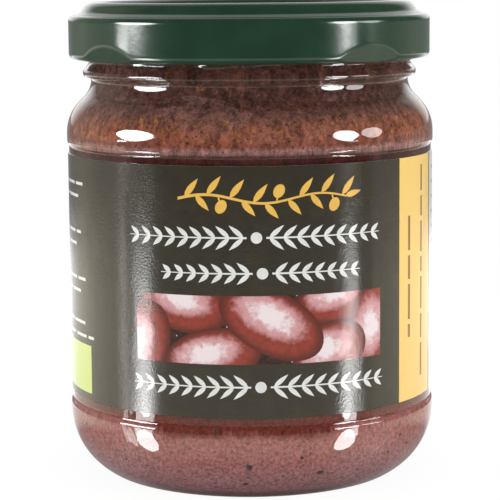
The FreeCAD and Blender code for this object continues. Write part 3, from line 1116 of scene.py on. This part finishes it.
@dataclass
class TapenadeFill:
    """The paste: it fills the jar and reaches just into the wall, so that no air gap shows."""

    jar: GlassJar
    headspace: float = 3.6
    reach: float = 0.45
    relief: float = 0.16
    relief_grain: float = 1.3
    relief_share: float = 0.6
    relief_seeds: Pair = (5.3, 8.1)
    least_step: float = 1e-9
    segments: int = 320
    spacing: float = 0.62
    bit_count: int = 150
    bit_least: float = 0.10
    bit_most: float = 0.34
    big_bits: tuple[Triple, ...] = (
        (-2.4, 4.6, 0.85),
        (-1.0, 7.4, 0.6),
        (23.0, 5.8, 0.60),
        (148.0, 6.0, 0.8),
        (-112.0, 8.0, 0.7),
    )
    bit_flat: float = 0.5
    bit_long: Pair = (0.8, 1.6)
    bit_tall: Pair = (0.7, 1.3)
    bit_rounds: int = 2
    lump: float = 0.55
    lump_pitch: float = 1.7
    lump_shift: float = 3.1
    wall_window: float = 1.0
    wall_least: float = 20.0
    bit_proud: float = 0.12
    bit_zones: tuple[Pair, ...] = ((3.0, 14.0), (62.5, 71.0))
    seed: int = 11
    paste: OlivePaste = field(default_factory=OlivePaste)
    skin: OliveBit = field(default_factory=OliveBit)

    def shaping(self, radius: np.ndarray, height: np.ndarray, azimuth: np.ndarray) -> Rings:
        """Roughen the paste's surface.

        Args:
            radius: The radii.
            height: The heights.
            azimuth: The azimuths.

        Returns:
            The new radii and heights.
        """
        places = cylinder_places(radius, height, azimuth)
        broad = smooth_noise(places, self.relief_grain, self.relief_seeds[0])
        fine = smooth_noise(places, self.relief_grain / 2, self.relief_seeds[1])
        rough = self.relief_share * broad + (1.0 - self.relief_share) * fine
        out = np.gradient(radius, axis=0)
        up = np.gradient(height, axis=0)
        length = np.maximum(np.hypot(out, up), self.least_step)
        push = self.reach + self.relief * rough
        return radius + push * up / length, height - push * out / length

    def build(self) -> list[bpy.types.Object]:
        """Make the paste and the larger scraps of olive in it."""
        top = self.jar.rim_height - self.headspace
        line = self.jar.inside(top, self.spacing)
        line.run(0.0, top)
        piece = turned_solid("tapenade_paste", line, self.segments, self.shaping)
        settle(piece, "tapenade", "paste", self.paste.material())
        bits = self.scraps(np.array(line.points))
        settle(bits, None, "paste", self.skin.material())
        return [piece, bits]

    def scraps(self, section: np.ndarray) -> bpy.types.Object:
        """Press small scraps of olive skin into the paste where it shows.

        Args:
            section: The paste's half section.

        Returns:
            The scraps as one piece.
        """
        draw = np.random.default_rng(self.seed)
        whole = bmesh.new()
        along = np.gradient(section, axis=0)
        for number in range(self.bit_count):
            low, high = self.bit_zones[number % len(self.bit_zones)]
            height = draw.uniform(low, high)
            size = draw.uniform(self.bit_least, self.bit_most)
            angle = math.radians(draw.uniform(0.0, FULL_TURN))
            if number < len(self.big_bits):
                turn, height, size = self.big_bits[number]
                angle = math.radians(turn)
            near = np.abs(section[:, 1] - height)
            wall = np.flatnonzero((near < self.wall_window) & (section[:, 0] > self.wall_least))
            row = wall[np.argmin(near[wall])]
            out, up = along[row] / np.linalg.norm(along[row])
            depth = self.reach + self.bit_proud - size * self.bit_flat
            radius = section[row, 0] + depth * up
            level = section[row, 1] - depth * out
            made = bmesh.ops.create_icosphere(whole, subdivisions=self.bit_rounds, radius=1.0)
            wide = size * draw.uniform(*self.bit_long)
            stretch = Vector((wide, size * self.bit_flat, size * draw.uniform(*self.bit_tall)))
            tilt = Matrix.Rotation(draw.uniform(0.0, math.pi), 3, "Y")
            lean = Matrix.Rotation(-math.atan2(out, up), 3, "X")
            spin = Matrix.Rotation(angle, 3, "Z")
            middle = Vector((radius * math.sin(angle), -radius * math.cos(angle), level))
            shift = Vector((number * self.lump_shift, 0.0, 0.0))
            for corner in made["verts"]:
                bump = 1.0 + self.lump * noise.noise(corner.co * self.lump_pitch + shift)
                shaped = Vector(part * bump * stretch[axis] for axis, part in enumerate(corner.co))
                corner.co = (spin @ (lean @ (tilt @ shaped)) + middle) * MM
        mesh = bpy.data.meshes.new("olive_scraps")
        whole.to_mesh(mesh)
        whole.free()
        mesh.shade_smooth()
        made = bpy.data.objects.new("olive_scraps", mesh)
        bpy.context.scene.collection.objects.link(made)
        return made


# ------------------------------------------------------------------ the label


@dataclass
class PrintShape:
    """One flat shape of ink, in millimetres along the label and above the foot."""

    ink: Ink
    points: np.ndarray
    clip: tuple[float, float, float, float] | None = None
    centre: Pair = (0.0, 0.0)
    reach: Pair = (1.0, 1.0)
    tilt: float = 0.0

    def holds(self, places: np.ndarray) -> np.ndarray:
        """Say which places lie inside the shape.

        Args:
            places: Two numbers each.

        Returns:
            A truth value for each.
        """
        across, up = places[:, 0], places[:, 1]
        inside = np.zeros(len(places), bool)
        ends = np.roll(self.points, -1, axis=0)
        for (x0, y0), (x1, y1) in zip(self.points, ends):
            if y0 == y1:
                continue
            crosses = (y0 > up) != (y1 > up)
            inside ^= crosses & (across < (x1 - x0) * (up - y0) / (y1 - y0) + x0)
        if self.clip:
            left, low, right, high = self.clip
            inside &= (across > left) & (across < right) & (up > low) & (up < high)
        return inside


def box_points(left: float, low: float, right: float, high: float) -> np.ndarray:
    """Give a box's corners."""
    return np.array(((left, low), (right, low), (right, high), (left, high)))


def laid_points(along: np.ndarray, across: np.ndarray, place: Pair, tilt: float) -> np.ndarray:
    """Turn points by a tilt in degrees and shift them to a place."""
    cos, sin = math.cos(math.radians(tilt)), math.sin(math.radians(tilt))
    return np.stack((place[0] + cos * along - sin * across, place[1] + sin * along + cos * across), axis=-1)


def oval_points(centre: Pair, reach: Pair, tilt: float, steps: int = 40) -> np.ndarray:
    """Give points round an oval, from half its length and breadth and its tilt in degrees."""
    angle = np.linspace(0.0, 2 * math.pi, steps, endpoint=False)
    return laid_points(reach[0] * np.cos(angle), reach[1] * np.sin(angle), centre, tilt)


def leaf_points(foot: Pair, length: float, breadth: float, tilt: float, steps: int = 5) -> np.ndarray:
    """Give points round a pointed leaf.

    Args:
        foot: Where it starts.
        length: Its length.
        breadth: Its breadth.
        tilt: Its direction in degrees from level.
        steps: How many points each edge has.

    Returns:
        The points.
    """
    share = np.linspace(0.0, 1.0, steps + 1)
    swell = breadth / 2 * np.sin(math.pi * share**LEAF_FULLEST)
    along = np.concatenate((share, share[-2:0:-1])) * length
    across = np.concatenate((swell, -swell[-2:0:-1]))
    return laid_points(along, across, foot, tilt)


def stem_points(middle: np.ndarray, half: np.ndarray) -> np.ndarray:
    """Give points round a stem, from its middle line and half its thickness along it."""
    lift = np.stack((np.zeros_like(half), half), axis=-1)
    return np.vstack((middle - lift, (middle + lift)[::-1]))


@dataclass(frozen=True)
class OliveSprig:
    """A yellow olive sprig: a waving stem with leaves above and below it and a few fruits."""

    left: float = -12.8
    right: float = 17.3
    middle: float = 54.3
    wave: float = 0.75
    half_waves: float = 3.0
    stem_half: float = 0.26
    stem_taper: float = 0.10
    stem_steps: int = 48
    leaves: int = 15
    first_leaf: float = 0.6
    leaf_breadth: float = 1.15
    upper_leaf: Pair = (4.1, 52.0)
    lower_leaf: Pair = (3.6, -48.0)
    fruit_pitch: int = 5
    first_fruit: int = 3
    fruit_shift: Pair = (0.5, 1.9)
    fruit_reach: Pair = (1.25, 0.95)
    fruit_tilt: float = 60.0
    fruit_steps: int = 20
    stalk: Triple = (1.6, 0.32, 75.0)
    stalk_steps: int = 3
    tip: Triple = (3.4, 1.1, 14.0)
    tip_back: float = 0.2

    def at(self, share: float) -> Pair:
        """Give the place at a share of the stem's length."""
        rise = self.wave * math.sin(share * math.pi * self.half_waves)
        return self.left + share * (self.right - self.left), self.middle + rise

    def shapes(self) -> list[PrintShape]:
        """Draw the sprig."""
        shares = np.linspace(0.0, 1.0, self.stem_steps)
        stem = np.array([self.at(share) for share in shares])
        outlines = [stem_points(stem, self.stem_half - self.stem_taper * shares)]
        for number in range(self.leaves):
            foot = self.at((number + self.first_leaf) / self.leaves)
            side = 1.0 if number % 2 == 0 else -1.0
            if number % self.fruit_pitch == self.first_fruit:
                centre = (foot[0] + self.fruit_shift[0], foot[1] + side * self.fruit_shift[1])
                outlines.append(oval_points(centre, self.fruit_reach, self.fruit_tilt, self.fruit_steps))
                length, breadth, lean = self.stalk
                outlines.append(leaf_points(foot, length, breadth, side * lean, self.stalk_steps))
            else:
                length, tilt = self.upper_leaf if side > 0 else self.lower_leaf
                outlines.append(leaf_points(foot, length, self.leaf_breadth, tilt))
        end = (self.right - self.tip_back, self.at(1.0)[1])
        outlines.append(leaf_points(end, *self.tip))
        return [PrintShape(Ink.ORNAMENT, points) for points in outlines]


@dataclass(frozen=True)
class SprayRow:
    """A row of white laurel, where two sprays grow out from a berry in the middle."""

    left: float
    right: float
    middle: float
    leaf: float
    leaves: int
    berry: float = 1.0
    berry_steps: int = 20
    start: float = 1.7
    stem_half: float = 0.17
    stem_taper: float = 0.10
    stem_steps: int = 24
    first_leaf: float = 0.2
    leaf_breadth: float = 0.85
    leaf_lean: float = 40.0
    shrink: float = 0.35

    def shapes(self) -> list[PrintShape]:
        """Draw the row."""
        centre = (self.left + self.right) / 2
        berry = (self.berry, self.berry)
        outlines = [oval_points((centre, self.middle), berry, 0.0, self.berry_steps)]
        shares = np.linspace(0.0, 1.0, self.stem_steps)
        for side, end in ((-1.0, self.left), (1.0, self.right)):
            start = centre + side * self.start
            run = end - start
            stem = np.stack((start + shares * run, np.full_like(shares, self.middle)), axis=-1)
            outlines.append(stem_points(stem, self.stem_half - self.stem_taper * shares))
            for number in range(self.leaves):
                share = (number + self.first_leaf) / self.leaves
                foot = (start + share * run, self.middle)
                length = self.leaf * (1.0 - self.shrink * share)
                for lean in (self.leaf_lean, -self.leaf_lean):
                    tilt = lean if side > 0 else FULL_TURN / 2 - lean
                    outlines.append(leaf_points(foot, length, self.leaf_breadth, tilt))
        return [PrintShape(Ink.WHITE, points) for points in outlines]


@dataclass(frozen=True)
class DashPrint:
    """Lines of small print as plain dashes, which runs of random length make up."""

    least: float = 2.0
    most: float = 6.5
    space: float = 0.9
    shortest: float = 0.6
    tall: float = 0.55
    strip_tall: float = 0.8
    strip_lines: tuple[Triple, ...] = ((49.4, 26.8, 33.2), (58.2, 18.1, 38.4))
    panel_lines: int = 15
    panel_head: float = 3.2
    panel_pitch: float = 2.75
    panel_margins: Pair = (2.6, 3.0)
    panel_short: float = 7.0
    panel_every: int = 4
    side_start: float = -78.0
    side_lines: tuple[Pair, ...] = (
        (54.9, -37.2),
        (52.6, -39.5),
        (46.1, -38.4),
        (43.8, -41.0),
        (37.6, -36.6),
        (35.3, -39.0),
        (29.6, -37.0),
        (27.2, -33.6),
    )


@dataclass
class PaperLabel:
    """The wrap-round paper label with a generic print of the same colours and scale."""

    jar: GlassJar
    foot_margin: float = 1.4
    head_margin: float = 1.1
    paper: float = 0.2
    gap: float = 18.0
    column: float = 2.0
    seed: int = 4
    bleed: float = 1.0
    weld: float = 1e-5
    sprig: OliveSprig = OliveSprig()
    rows: tuple[SprayRow, ...] = (
        SprayRow(-22.6, 24.6, 47.6, 3.4, 9),
        SprayRow(-16.2, 20.2, 41.4, 3.0, 7),
        SprayRow(-22.2, 25.4, 21.5, 3.4, 9),
    )
    small: DashPrint = DashPrint()
    picture: tuple[float, float, float, float] = (-21.4, 25.5, 24.95, 37.5)
    fruits: tuple[tuple[float, float, float, float, float], ...] = (
        (0.80, 0.96, 0.66, 0.40, 14.0),
        (0.20, 0.88, 0.70, 0.42, -14.0),
        (0.02, 0.26, 0.66, 0.46, 66.0),
        (0.31, 0.10, 0.74, 0.42, 12.0),
        (0.97, 0.50, 0.66, 0.46, 82.0),
        (0.77, 0.14, 0.62, 0.44, 22.0),
        (0.54, 0.60, 0.84, 0.46, -28.0),
    )
    strip: Pair = (30.3, 43.7)
    panel: Pair = (44.5, 88.0)
    green: tuple[float, float, float, float] = (-59.0, 17.2, -34.7, 26.0)

    def __post_init__(self) -> None:
        """Work out the label's place on the jar's panel."""
        self.low = self.jar.panel_foot + self.foot_margin
        self.high = self.jar.panel_head - self.head_margin
        self.inner = self.jar.panel_radius
        self.outer = self.inner + self.paper
        self.half = math.radians((FULL_TURN - self.gap) / 2) * self.outer
        self.draw = np.random.default_rng(self.seed)

    def dashes(
        self, ink: Ink, start: float, end: float, foot: float, tall: float, upright: bool = False
    ) -> list[PrintShape]:
        """Draw one line of small print as plain dashes.

        Args:
            ink: Its ink.
            start: Where the line starts.
            end: Where it ends.
            foot: The line's foot, across its run.
            tall: How tall the dashes are.
            upright: Whether the line runs up the label.

        Returns:
            The shapes.
        """
        small = self.small
        shapes = []
        place = start
        sign = 1.0 if end > start else -1.0
        while sign * (end - place) > small.shortest:
            length = float(self.draw.uniform(small.least, small.most))
            stop = place + sign * min(length, abs(end - place))
            box = (min(place, stop), foot, max(place, stop), foot + tall)
            if upright:
                box = (foot, min(place, stop), foot + tall, max(place, stop))
            shapes.append(PrintShape(ink, box_points(*box)))
            place = stop + sign * small.space
        return shapes

    def olives(self) -> list[PrintShape]:
        """Draw the picture band: plain ovals of fruit on a dark ground."""
        left, low, right, high = self.picture
        tall = high - low
        shapes = [PrintShape(Ink.PICTURE, box_points(left, low, right, high))]
        for across, up, length, breadth, tilt in self.fruits:
            centre = (left + across * (right - left), low + up * tall)
            reach = (length * tall, breadth * tall)
            points = oval_points(centre, reach, tilt)
            shapes.append(PrintShape(Ink.OLIVE, points, self.picture, centre, reach, tilt))
        return shapes

    def small_print(self) -> list[PrintShape]:
        """Draw the dashes on the strip, on the white panel and on the dark side."""
        small = self.small
        left, right = self.panel
        shapes: list[PrintShape] = []
        for start, end, foot in small.strip_lines:
            shapes.extend(self.dashes(Ink.BROWN, start, end, foot, small.strip_tall, True))
        for line in range(small.panel_lines):
            foot = self.high - small.panel_head - small.panel_pitch * line
            short = small.panel_short * (line % small.panel_every == small.panel_every - 1)
            end = right - small.panel_margins[1] - short
            shapes.extend(self.dashes(Ink.BLACK, left + small.panel_margins[0], end, foot, small.tall))
        for foot, end in small.side_lines:
            shapes.extend(self.dashes(Ink.WHITE, end, small.side_start, foot, small.tall))
        return shapes

    def print_shapes(self) -> list[PrintShape]:
        """Draw the whole print, the lowest layer first."""
        low, high = self.low - self.bleed, self.high + self.bleed
        shapes = [
            PrintShape(Ink.STRIP, box_points(self.strip[0], low, self.strip[1], high)),
            PrintShape(Ink.PANEL, box_points(self.panel[0], low, self.panel[1], high)),
            PrintShape(Ink.GREEN, box_points(*self.green)),
        ]
        shapes.extend(self.olives())
        shapes.extend(self.sprig.shapes())
        for row in self.rows:
            shapes.extend(row.shapes())
        return shapes + self.small_print()

    def build(self) -> bpy.types.Object:
        """Cut the sheet into its inked regions and wrap it round the jar."""
        shapes = self.print_shapes()
        edge = box_points(-self.half, self.low, self.half, self.high)
        columns = round((FULL_TURN - self.gap) / self.column)
        sheet = [Vector(point) for point in edge]
        edges = [(0, 1), (1, 2), (2, 3), (3, 0)]
        for place in np.linspace(-self.half, self.half, columns + 1)[1:-1]:
            edges.append((len(sheet), len(sheet) + 1))
            sheet.extend((Vector((place, self.low)), Vector((place, self.high))))
        for shape in shapes:
            first = len(sheet)
            inside = np.clip(shape.points, (-self.half, self.low), (self.half, self.high))
            sheet.extend(Vector(point) for point in inside)
            count = len(inside)
            edges.extend((first + step, first + (step + 1) % count) for step in range(count))
        corners, _, triangles, *_ = delaunay_2d_cdt(sheet, edges, [], 0, self.weld)
        flat = np.array([tuple(corner) for corner in corners])
        triangles = np.array([tuple(face) for face in triangles])
        middle = flat[triangles].mean(axis=1)
        owner = np.full(len(triangles), -1)
        for number, shape in enumerate(shapes):
            owner[shape.holds(middle)] = number
        return self.wrap(shapes, flat, triangles, owner)

    def wrap(
        self, shapes: list[PrintShape], flat: np.ndarray, triangles: np.ndarray, owner: np.ndarray
    ) -> bpy.types.Object:
        """Bend the cut sheet round the jar and close it with its back and edges.

        Args:
            shapes: The printed shapes.
            flat: The sheet's corners.
            triangles: Its faces.
            owner: The number of the shape on each face, or -1.

        Returns:
            The label.
        """
        count = len(flat)
        azimuth = flat[:, 0] / self.outer
        round_outer = np.stack((np.sin(azimuth), -np.cos(azimuth), np.zeros(count)), axis=-1)
        front = round_outer * self.outer
        front[:, 2] = flat[:, 1]
        back = round_outer * self.inner
        back[:, 2] = flat[:, 1]
        borders: dict[tuple[int, int], int] = {}
        for one, two, three in triangles.tolist():
            for pair in ((one, two), (two, three), (three, one)):
                borders[pair] = borders.get(pair, 0) + 1
        rim = [pair for pair in borders if (pair[1], pair[0]) not in borders]
        faces: list[tuple[int, ...]] = [tuple(face) for face in triangles.tolist()]
        faces += [(three + count, two + count, one + count) for one, two, three in triangles.tolist()]
        faces += [(two, one, one + count, two + count) for one, two in rim]
        piece = mesh_object("paper_label", np.vstack((front, back)), faces)
        slots = list(Ink)
        mesh = piece.data
        kinds = [slots.index(shapes[number].ink) if number >= 0 else 0 for number in owner]
        kinds += [slots.index(Ink.EDGE)] * (len(faces) - len(kinds))
        mesh.polygons.foreach_set("material_index", kinds)
        self.lay_print_map(mesh, shapes, flat, owner)
        self.set_normals(mesh, round_outer, len(triangles))
        papers = {paper.ink: paper.material() for paper in PAPERS}
        settle(piece, "label", "label_print", *(papers[ink] for ink in Ink))
        return piece

    def lay_print_map(
        self, mesh: bpy.types.Mesh, shapes: list[PrintShape], flat: np.ndarray, owner: np.ndarray
    ) -> None:
        """Give each printed shape its own length and breadth as a map.

        Args:
            mesh: The label's mesh.
            shapes: The printed shapes.
            flat: The sheet's corners.
            owner: The number of the shape on each front face.
        """
        layer = mesh.uv_layers.new(name="print")
        for polygon in mesh.polygons[: len(owner)]:
            number = owner[polygon.index]
            if number < 0:
                continue
            shape = shapes[number]
            cos, sin = math.cos(math.radians(shape.tilt)), math.sin(math.radians(shape.tilt))
            for loop in polygon.loop_indices:
                across, up = flat[mesh.loops[loop].vertex_index] - shape.centre
                along, aside = cos * across + sin * up, cos * up - sin * across
                layer.data[loop].uv = (along / shape.reach[0], aside / shape.reach[1])

    def set_normals(self, mesh: bpy.types.Mesh, outward: np.ndarray, front_faces: int) -> None:
        """Shade the front and back as one round sheet, whatever way it is cut.

        Args:
            mesh: The label's mesh.
            outward: The direction away from the axis at each corner.
            front_faces: How many faces the front has.
        """
        count = len(outward)
        normals = []
        for polygon in mesh.polygons:
            for loop in polygon.loop_indices:
                corner = mesh.loops[loop].vertex_index
                if polygon.index < front_faces:
                    normals.append(tuple(outward[corner]))
                elif polygon.index < 2 * front_faces:
                    normals.append(tuple(-outward[corner - count]))
                else:
                    normals.append(tuple(polygon.normal))
        mesh.normals_split_custom_set(normals)


# ------------------------------------------------------------------ the studio


@dataclass
class SoftBox:
    """A tall soft lamp beside the jar, with its shine in glossy things and its light set apart."""

    name: str
    azimuth: float
    width: float
    low: float
    high: float
    shine: float
    light: float = 0.0
    oval: bool = False
    distance: float = 0.70

    def build(self) -> None:
        """Hang the lamp."""
        for part, radiance in (("shine", self.shine), ("light", self.light)):
            if radiance <= 0:
                continue
            data = bpy.data.lights.new(f"{self.name}_{part}", "AREA")
            data.shape = "ELLIPSE" if self.oval else "RECTANGLE"
            data.size = self.width
            data.size_y = self.high - self.low
            area = data.size * data.size_y * (math.pi / 4 if self.oval else 1.0)
            data.energy = radiance * math.pi * area
            lamp = bpy.data.objects.new(f"{self.name}_{part}", data)
            angle = math.radians(self.azimuth)
            across = Vector((math.sin(angle), -math.cos(angle), 0.0))
            lamp.location = across * self.distance + Vector((0.0, 0.0, (self.high + self.low) / 2))
            lamp.rotation_euler = (-across).to_track_quat("-Z", "Y").to_euler()
            lamp.visible_diffuse = part == "light"
            lamp.visible_glossy = part == "shine"
            lamp.visible_transmission = False
            lamp.visible_camera = False
            bpy.context.scene.collection.objects.link(lamp)


@dataclass(frozen=True)
class Surroundings:
    """Surroundings that are white to look at, give even light, and show shine a dim studio."""

    ambient: float = 0.78
    warm: Triple = (1.0, 0.93, 0.78)
    warm_turned: Pair = (0.98, 0.62)
    front: float = 0.10
    sides: float = 0.15
    sides_depth: Pair = (-0.9, 0.2)
    left_wall: float = 0.45
    left_wall_aside: Pair = (-0.25, -0.75)
    left_wall_depth: Pair = (-0.05, 0.35)
    least_level: float = 0.01
    back: float = 0.9
    back_turned: Pair = (0.74, 0.95)
    back_foot: Pair = (0.0, 0.05)
    back_rise: Pair = (0.97, 0.80)
    back_wall: float = 1.4
    back_wall_rise: Pair = (0.45, 0.20)
    below: float = 1.15
    below_rise: Pair = (-0.05, -0.28)
    below_turned: Pair = (0.0, 0.45)
    below_dim: Pair = (1.0, 0.3)
    steep_rise: Pair = (-0.85, -0.50)
    steep_dim: Pair = (0.2, 1.0)
    low_rise: Pair = (-0.115, -0.145)
    lowest_rise: Pair = (-0.16, -0.20)
    lowest_dim: Pair = (1.0, 0.65)
    side_level: Pair = (0.66, 2.2)
    back_level: Pair = (0.30, 1.75)
    back_level_turned: Pair = (0.58, 0.88)
    right_dim: float = 0.2
    right_aside: Pair = (-0.2, 0.2)
    right_turned: Pair = (0.9, 0.7)
    foot_rise: Pair = (-0.36, -0.22)
    foot_dim: Pair = (0.10, 1.0)
    level_turned: Pair = (-0.28, -0.10)
    level_rise: Pair = (0.12, 0.0)

    def shine(self, aside: Wire, depth: Wire, rise: Wire, turned: Wire) -> Wire:
        """Give how bright the studio is in shine.

        Args:
            aside: How far the direction leads to the right.
            depth: How far it leads backwards.
            rise: How far it leads up.
            turned: How far it leads backwards, seen from above.

        Returns:
            The brightness.
        """
        steep = rise.ramp(*self.steep_rise).between(*self.steep_dim)
        wall = aside.ramp(*self.left_wall_aside) * depth.ramp(*self.left_wall_depth)
        behind = turned.ramp(*self.back_turned) * rise.ramp(*self.back_foot)
        below = turned.ramp(*self.below_turned).between(*self.below_dim) * steep
        lit = depth.ramp(*self.sides_depth).between(self.front, self.sides)
        lit = lit.most(wall * self.left_wall)
        lit = lit.most(behind * rise.ramp(*self.back_rise) * self.back)
        lit = lit.most(behind * rise.ramp(*self.back_wall_rise) * self.back_wall)
        lit = lit.most(rise.ramp(*self.below_rise) * below * self.below)
        return lit.most(self.level(aside, rise, turned) * steep)

    def level(self, aside: Wire, rise: Wire, turned: Wire) -> Wire:
        """Give how bright the studio is about level with the jar.

        Args:
            aside: How far the direction leads to the right.
            rise: How far it leads up.
            turned: How far it leads backwards, seen from above.

        Returns:
            The brightness.
        """
        low = rise.ramp(*self.low_rise) * rise.ramp(*self.lowest_rise).between(*self.lowest_dim)
        side, back = low.between(*self.side_level), low.between(*self.back_level)
        right = aside.ramp(*self.right_aside) * turned.ramp(*self.right_turned)
        lit = turned.ramp(*self.back_level_turned).between(side, back)
        lit = lit * (1.0 - right * self.right_dim) * rise.ramp(*self.foot_rise).between(*self.foot_dim)
        return lit * turned.ramp(*self.level_turned) * rise.ramp(*self.level_rise)

    def build(self) -> None:
        """Make the surroundings."""
        world = bpy.data.worlds.new("studio")
        bpy.context.scene.world = world
        world.use_nodes = True
        graph = Graph(world.node_tree)
        way = graph.node("ShaderNodeTexCoord", output="Generated")
        aside, depth, rise = way.part("X"), way.part("Y"), way.part("Z")
        turned = depth / (1.0 - rise * rise).most(self.least_level).root()
        shine = self.shine(aside, depth, rise, turned)
        glossy = graph.ray("Is Glossy Ray")
        direct = graph.ray("Is Camera Ray").most(graph.ray("Is Transmission Ray"))
        strength = direct.between(glossy.between(self.ambient, shine), 1.0)
        tint = graph.mix(glossy * turned.ramp(*self.warm_turned), WHITE, self.warm)
        glow = graph.node("ShaderNodeBackground", None, {"Color": tint, "Strength": strength})
        graph.finish(glow, "ShaderNodeOutputWorld")


@dataclass
class Studio:
    """The white floor and surroundings, the lamps and the camera."""

    camera_distance: float = 0.376676
    camera_height: float = 0.092836
    look_down: float = 7.856
    roll: float = -0.45
    lens: float = 145.37
    sensor: float = 36.0
    shift: float = -0.0014
    nearest: float = 0.01
    farthest: float = 50.0
    floor_reach: float = 6.0
    floor_painted_shadow: Pair = (-8.0, 25.0)
    floor_far: Pair = (120.0, 400.0)
    floor_glow: Pair = (0.92, 1.0)
    floor_matt: Triple = (0.12, 0.12, 0.12)
    floor_plain: Triple = (0.78, 0.78, 0.77)
    surroundings: Surroundings = Surroundings()
    lamps: tuple[SoftBox, ...] = (
        SoftBox("left_key", -69.5, 0.175, 0.05, 0.25, 0.0, 9.0),
        SoftBox("left_fill", -82.7, 0.115, 0.05, 0.25, 0.0, 2.0),
        SoftBox("left_key_below", -70.0, 0.200, -0.42, -0.03, 0.0, 2.0),
        SoftBox("right_key", 62.5, 0.160, 0.05, 0.25, 0.0, 9.0),
        SoftBox("right_fill", 82.0, 0.185, 0.05, 0.25, 0.0, 3.0),
        SoftBox("right_key_below", 59.5, 0.190, -0.42, -0.03, 0.0, 2.0),
        SoftBox("left_shoulder_box", -74.5, 0.370, 0.066, 0.32, 24.0, 0.0, True),
        SoftBox("left_lid_panel", -83.5, 0.105, 0.042, 0.062, 26.0),
        SoftBox("left_label_panel", -69.5, 0.170, -0.20, -0.055, 10.0),
        SoftBox("left_label_slit", -85.0, 0.044, -0.30, -0.03, 4.0),
        SoftBox("left_heel_box", -69.0, 0.200, -0.44, -0.12, 16.0, 0.0, True),
        SoftBox("left_heel_side", -80.5, 0.080, -0.36, -0.12, 5.0, 0.0, True),
        SoftBox("right_shoulder_box", 60.5, 0.215, 0.060, 0.32, 24.0, 0.0, True),
        SoftBox("right_shoulder_side", 79.8, 0.205, 0.082, 0.31, 9.0, 0.0, True),
        SoftBox("right_lid_panel", 64.5, 0.095, 0.042, 0.066, 9.0),
        SoftBox("right_label_panel", 63.5, 0.110, -0.20, -0.055, 11.0),
        SoftBox("right_heel_box", 60.5, 0.170, -0.44, -0.12, 16.0, 0.0, True),
    )

    def build(self) -> None:
        """Make everything round the jar."""
        self.floor()
        self.surroundings.build()
        for lamp in self.lamps:
            lamp.build()
        self.camera()

    def floor(self) -> None:
        """Lay the pale floor, which keeps the jar's shadow in its matt part; its glow is dimmed under the jar
        as a painted contact shadow.
        """
        reach = self.floor_reach / MM
        corners = np.pad(box_points(-reach, -reach, reach, reach), ((0, 0), (0, 1)))
        made = mesh_object("studio_floor", corners, [(0, 1, 2, 3)])
        material, graph = material_graph("studio_floor")
        direct = graph.ray("Is Camera Ray").most(graph.ray("Is Transmission Ray"))
        away = graph.node("ShaderNodeVectorMath", {"operation": "LENGTH"}, {0: graph.place()}, "Value")
        far = away.ramp(*self.floor_far)
        # painted shadow: the glow fades towards the jar's axis, so the floor under the jar is dark
        strength = far.between(*self.floor_glow) * away.ramp(*self.floor_painted_shadow)
        glow = graph.node("ShaderNodeEmission", None, {"Color": WHITE, "Strength": strength})
        grey = graph.mix(far, self.floor_matt, BLACK)
        matt = graph.node("ShaderNodeBsdfDiffuse", None, {"Color": grey})
        shown = graph.node("ShaderNodeAddShader", None, {0: glow, 1: matt})
        plain = graph.node("ShaderNodeBsdfDiffuse", None, {"Color": self.floor_plain})
        graph.finish(graph.blend(direct, plain, shown))
        made.data.materials.append(material)
        made.visible_glossy = False
        made.visible_shadow = False

    def camera(self) -> None:
        """Set up the camera."""
        data = bpy.data.cameras.new("camera")
        data.sensor_width = self.sensor
        data.lens = self.lens
        data.shift_x = self.shift
        data.clip_start = self.nearest
        data.clip_end = self.farthest
        made = bpy.data.objects.new("camera", data)
        pitch = Matrix.Rotation(math.radians(FULL_TURN / 4 - self.look_down), 4, "X")
        roll = Matrix.Rotation(math.radians(self.roll), 4, "Z")
        place = Matrix.Translation((0.0, -self.camera_distance, self.camera_height))
        made.matrix_world = place @ pitch @ roll
        bpy.context.scene.collection.objects.link(made)
        bpy.context.scene.camera = made


def main() -> None:
    """Build the jar, its paste, lid and label, then the studio."""
    logging.basicConfig(level=logging.INFO, format="%(message)s")
    bpy.context.scene.view_settings.view_transform = "Standard"
    jar = GlassJar()
    jar.build()
    TapenadeFill(jar).build()
    TwistLid(jar).build()
    PaperLabel(jar).build()
    Studio().build()


if __name__ == "__main__":
    main()
